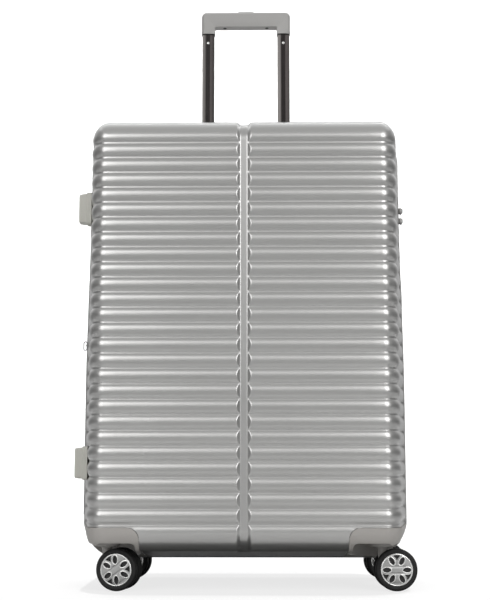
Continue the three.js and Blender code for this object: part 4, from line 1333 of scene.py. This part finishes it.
def divider():
    """The zipped fabric panel that closes the front half."""
    x, z, nx, nz, _, _ = rim_path(14.0, -9.5, 8.0)
    outer = [(a, b) for a, b in zip(x, z)]
    rings = []
    for k in (1.0, 0.985, 0.95, 0.88, 0.78, 0.66, 0.52, 0.38, 0.24, 0.1):
        ring = []
        for a, b in outer:
            xx, zz = a * k, 395 + (b - 395) * k
            y = -13.5 - 3.2 * (1 - k) ** 0.7 + abs(soft_waves(xx, 0, zz, 0.9, 1.4)) * (1 - k) * -1.5
            ring.append((xx, y, zz))
        rings.append(ring)
    ob = loft("front_divider_panel", rings, M_DIVIDER, 60, caps=False)
    bm = bmesh.new()
    bm.from_mesh(ob.data)
    inner = [e for e in bm.edges if e.is_boundary and all(abs(v.co.x * 1000 - OX) < 60 for v in e.verts)]
    bmesh.ops.holes_fill(bm, edges=inner, sides=0)
    bmesh.ops.recalc_face_normals(bm, faces=bm.faces)
    bm.to_mesh(ob.data)
    bm.free()
    area = mesh_area(ob)
    m = ob.modifiers.new("s", "SOLIDIFY")
    m.thickness, m.offset = 0.0008, 0
    bake_mods(ob)
    smooth_shade(ob, 50)
    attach(ob, "front_half")
    w, l = 0.50, 0.69
    while area > w * l:
        w, l = w * 1.03, l * 1.03
    # its binding, and the zip that runs round it
    rings = [[(outer[i][0] - nx[i] * (3.5 + a), -12.6 + b, outer[i][1] - nz[i] * (3.5 + a)) for a, b in ((-4.5, -0.9), (4.5, -0.9), (4.5, 0.3), (-4.5, 0.3))] for i in range(len(outer))]
    edge = loft("b", rings, M_TAPE, 40, caps=False, closed=True)
    row = [[(outer[i][0] - nx[i] * (3.0 + a), -12.3 + b, outer[i][1] - nz[i] * (3.0 + a)) for a, b in ((-1.6, 0), (-0.9, 1.1), (0.9, 1.1), (1.6, 0))] for i in range(len(outer))]
    coil = loft("c", row, M_TOOTH, 40, caps=False, closed=True)
    pull = loft("d", [[(196 + a, y, 640 + b) for a, b in rounded_rect(-4, 4, -16, 10, 3, 4)] for y in (-11.4, -10.0)], M_ZIPMETAL, 35)
    e = join("front_divider_binding", [edge, coil, pull])
    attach(e, "front_half")


M_DIVIDER = woven("divider_weave", (0.045, 0.047, 0.052), 0.0022, ("X", "Z"), 0.3, 0.8, 0.45)
divider()


def straps():
    """Two packing straps that cross over the rear half, with a buckle where they meet."""
    obs = []
    for sx, z0 in ((-1, 165), (1, 165), (-1, 625), (1, 625)):
        a = Vector((sx * 234.0, 24.0, z0))
        b = Vector((sx * 20.0, 12.5, 395 + (12 if z0 > 395 else -12)))
        path, up = [], []
        for k in range(25):
            t = k / 24
            p = a.lerp(b, t)
            p.y += 7.0 * math.sin(math.pi * t) - 6.0 * (1 - t) ** 6 * 0
            path.append(p)
            up.append((0, -1, 0))
        sec = [(-12.5, -0.7), (12.5, -0.7), (12.5, 0.7), (-12.5, 0.7)]
        obs.append(sweep("s", path, sec, M_STRAP, normals=up, shade=40))
        anchor = block("a", sx * 234.0 - 7, sx * 234.0 + 7, 17.5, 27.5, z0 - 15, z0 + 15, M_STRAP, 1.5)
        obs.append(anchor)
    st = join("rear_packing_straps", obs)
    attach(st, "case")
    pads = []
    for sx in (-1, 1):
        rings = [[(x, y, z) for x, z in rounded_rect(min(sx * 2, sx * 34) + k, max(sx * 2, sx * 34) - k, 370 + k, 420 - k, 7 - k, 5)]
                 for y, k in ((8.2, 1.0), (9.0, 0.0), (15.0, 0.0), (15.8, 1.0))]
        pads.append(loft("p", rings, M_DARK, 35))
    bar = lathe("q", [(0, -22), (2.6, -22), (3.0, -21.4), (3.0, 21.4), (2.6, 22), (0, 22)], (0, 11.5, 395), (0, 0, 1), 24, M_DARK, 35)
    bk = join("rear_strap_buckle", pads + [bar])
    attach(bk, "case")


M_STRAP = woven("strap_webbing", (0.02, 0.02, 0.022), 0.0018, ("Z", "X"), 0.2, 0.8, 0.5)
straps()


# ------------------------------------------------------------------ CAD nodes that stay on show
def clothe(node, mat):
    ob = frame["nodes"][node]
    ob.data.materials.clear()
    ob.data.materials.append(mat)


for node, mat, slot in (("outer_tube_left", M_SLEEVE, "outer_tube"), ("outer_tube_right", M_SLEEVE, "outer_tube"),
                        ("release_rod_left", M_STEEL, "steel"), ("release_rod_right", M_STEEL, "steel"),
                        ("tube_base_bracket", M_DARK, "black_plastic")):
    clothe(node, mat)


# ------------------------------------------------------------------ stage, light, camera
def stage_parts():
    n = Nodes("floor_pale")
    c = n.noise(3, 3)
    n.set(color=n.ramp(c, [(0.3, (0.86, 0.86, 0.86)), (0.7, (0.9, 0.9, 0.9))]), rough=0.85, spec=0.1)
    glow = Nodes("floor_lit")
    glow.set(color=glow.ramp(glow.noise(3, 3), [(0.3, (0.20, 0.20, 0.20)), (0.7, (0.23, 0.23, 0.23))]), rough=0.9, spec=0.05)
    for nd in glow.m.node_tree.nodes:
        if nd.type == "BSDF_PRINCIPLED":
            nd.inputs["Emission Color"].default_value = (1, 1, 1, 1)
            nd.inputs["Emission Strength"].default_value = 0.78
    ring = [(-3500, 0), (900, 0), (2400, 0)]
    ring += [(2400 + 900 * math.sin(t), 900 - 900 * math.cos(t)) for t in np.linspace(0.15, math.pi / 2, 10)] + [(3300, 6000)]
    low = Nodes("floor_grey")
    low.set(color=low.ramp(low.noise(3, 3), [(0.3, (0.54, 0.54, 0.54)), (0.7, (0.58, 0.58, 0.58))]), rough=0.85, spec=0.1)
    under = new_mesh("studio_floor_bounce", [(-6000, -3500, -0.8), (6000, -3500, -0.8), (6000, 900, -0.8), (-6000, 900, -0.8)], [[0, 1, 2, 3]], low.m)
    under.visible_camera = False
    pale = Nodes("floor_near")
    pale.set(color=pale.ramp(pale.noise(3, 3), [(0.3, (0.88, 0.88, 0.88)), (0.7, (0.92, 0.92, 0.92))]), rough=0.85, spec=0.1)
    near = new_mesh("studio_floor_near", [(-450, -560, -0.6), (450, -560, -0.6), (450, -165, -0.6), (-450, -165, -0.6)], [[0, 1, 2, 3]], pale.m)
    near.visible_camera = False
    for name, part in (("studio_floor", ring[:2]), ("studio_backdrop", ring[1:])):
        verts, faces = [], []
        for y, z in part:
            verts += [(-6000, y, z - 0.3), (6000, y, z - 0.3)]
        for i in range(len(part) - 1):
            faces.append([2 * i, 2 * i + 1, 2 * i + 3, 2 * i + 2])
        ob = new_mesh(name, verts, faces, glow.m if name == "studio_floor" else n.m, 60)
        ob.visible_glossy = False
        if name == "studio_floor":
            ob.visible_diffuse = ob.visible_shadow = ob.visible_transmission = False


stage_parts()


def shade_card():
    """Keeps the floor under the case dark, as it is where the light doesn't get in."""
    n = Nodes("floor_shade")
    n.set(color=n.ramp(n.noise(4, 2), [(0.3, (0.09, 0.09, 0.09)), (0.7, (0.12, 0.12, 0.12))]), rough=0.9, spec=0.05)
    pts = rounded_rect(-255, 255, -160, 190, 90, 10)
    ob = new_mesh("studio_floor_shade", [(x, y, 0.05) for x, y in pts], [list(range(len(pts)))], n.m)
    ob.visible_camera = False
    ob.visible_shadow = False


shade_card()


def area(name, loc, target, size, power, color=(1, 1, 1)):
    l = bpy.data.lights.new(name, "AREA")
    l.shape, l.size, l.size_y, l.energy, l.color = "RECTANGLE", size[0], size[1], power, color
    o = bpy.data.objects.new(name, l)
    o.location = Vector(loc)
    o.rotation_mode = "QUATERNION"
    o.rotation_quaternion = (Vector(target) - Vector(loc)).to_track_quat("-Z", "Y")
    bpy.context.scene.collection.objects.link(o)
    o.visible_camera = False
    return o


area("front_left", (-1.3, -2.3, 1.5), (0, 0, 0.5), (1.7, 1.9), 26)
area("front_right", (1.38, -2.15, 1.5), (0, 0, 0.5), (1.3, 1.9), 29)
area("front_high", (-0.2, -2.35, 1.85), (0, 0, 0.5), (2.4, 0.9), 1.5)
area("top_back", (0, 1.15, 2.1), (0, 1.05, 0), (3.2, 2.5), 10, (0.95, 0.975, 1.0))
area("backdrop_wash", (0, 1.0, 2.6), (0, 3.3, 0.9), (3.6, 0.8), 75)

w = bpy.data.worlds.new("studio")
bpy.context.scene.world = w
w.use_nodes = True
wt = w.node_tree
bg = wt.nodes["Background"]
tc = wt.nodes.new("ShaderNodeTexCoord")
sep = wt.nodes.new("ShaderNodeSeparateXYZ")
wt.links.new(tc.outputs["Generated"], sep.inputs[0])
absx = wt.nodes.new("ShaderNodeMath"); absx.operation = "ABSOLUTE"
wt.links.new(sep.outputs["X"], absx.inputs[0])
fall = wt.nodes.new("ShaderNodeMapRange")          # dark flags out to the two sides
fall.interpolation_type = "SMOOTHSTEP"
fall.inputs["From Min"].default_value, fall.inputs["From Max"].default_value = 0.55, 0.92
fall.inputs["To Min"].default_value, fall.inputs["To Max"].default_value = 1.0, 0.42
wt.links.new(absx.outputs[0], fall.inputs["Value"])
high = wt.nodes.new("ShaderNodeMapRange")
high.inputs["From Min"].default_value, high.inputs["From Max"].default_value = -1, 1
wt.links.new(sep.outputs["Z"], high.inputs["Value"])
sky = wt.nodes.new("ShaderNodeValToRGB")           # how bright the room is at each height
stops = [(0.0, 0.5), (0.5, 0.52), (0.6, 0.66), (0.7, 0.98), (0.8, 0.72), (0.9, 0.66), (1.0, 0.8)]
while len(sky.color_ramp.elements) < len(stops):
    sky.color_ramp.elements.new(0.5)
for e, (at, v) in zip(sky.color_ramp.elements, stops):
    e.position, e.color = at, (v, v, v, 1)
wt.links.new(high.outputs["Result"], sky.inputs["Fac"])
both = wt.nodes.new("ShaderNodeMath"); both.operation = "MULTIPLY"
wt.links.new(fall.outputs["Result"], both.inputs[0])
wt.links.new(sky.outputs["Color"], both.inputs[1])
wt.links.new(both.outputs[0], bg.inputs["Strength"])
bg.inputs["Color"].default_value = (1, 1, 1, 1)
bpy.context.scene.view_settings.view_transform = "Standard"
bpy.context.scene.view_settings.look = "None"

cam = bpy.data.cameras.new("camera")
co = bpy.data.objects.new("camera", cam)
bpy.context.scene.collection.objects.link(co)
cam.lens, cam.sensor_width = 72.0, 36.0
PITCH_UP, YAW = math.radians(7.6), math.radians(0.75)
co.location = P(25.7, -1971, 198)
co.rotation_mode = "QUATERNION"
co.rotation_quaternion = Vector((-math.sin(YAW) * math.cos(PITCH_UP), math.cos(YAW) * math.cos(PITCH_UP), math.sin(PITCH_UP))).to_track_quat("-Z", "Y")
bpy.context.scene.camera = co
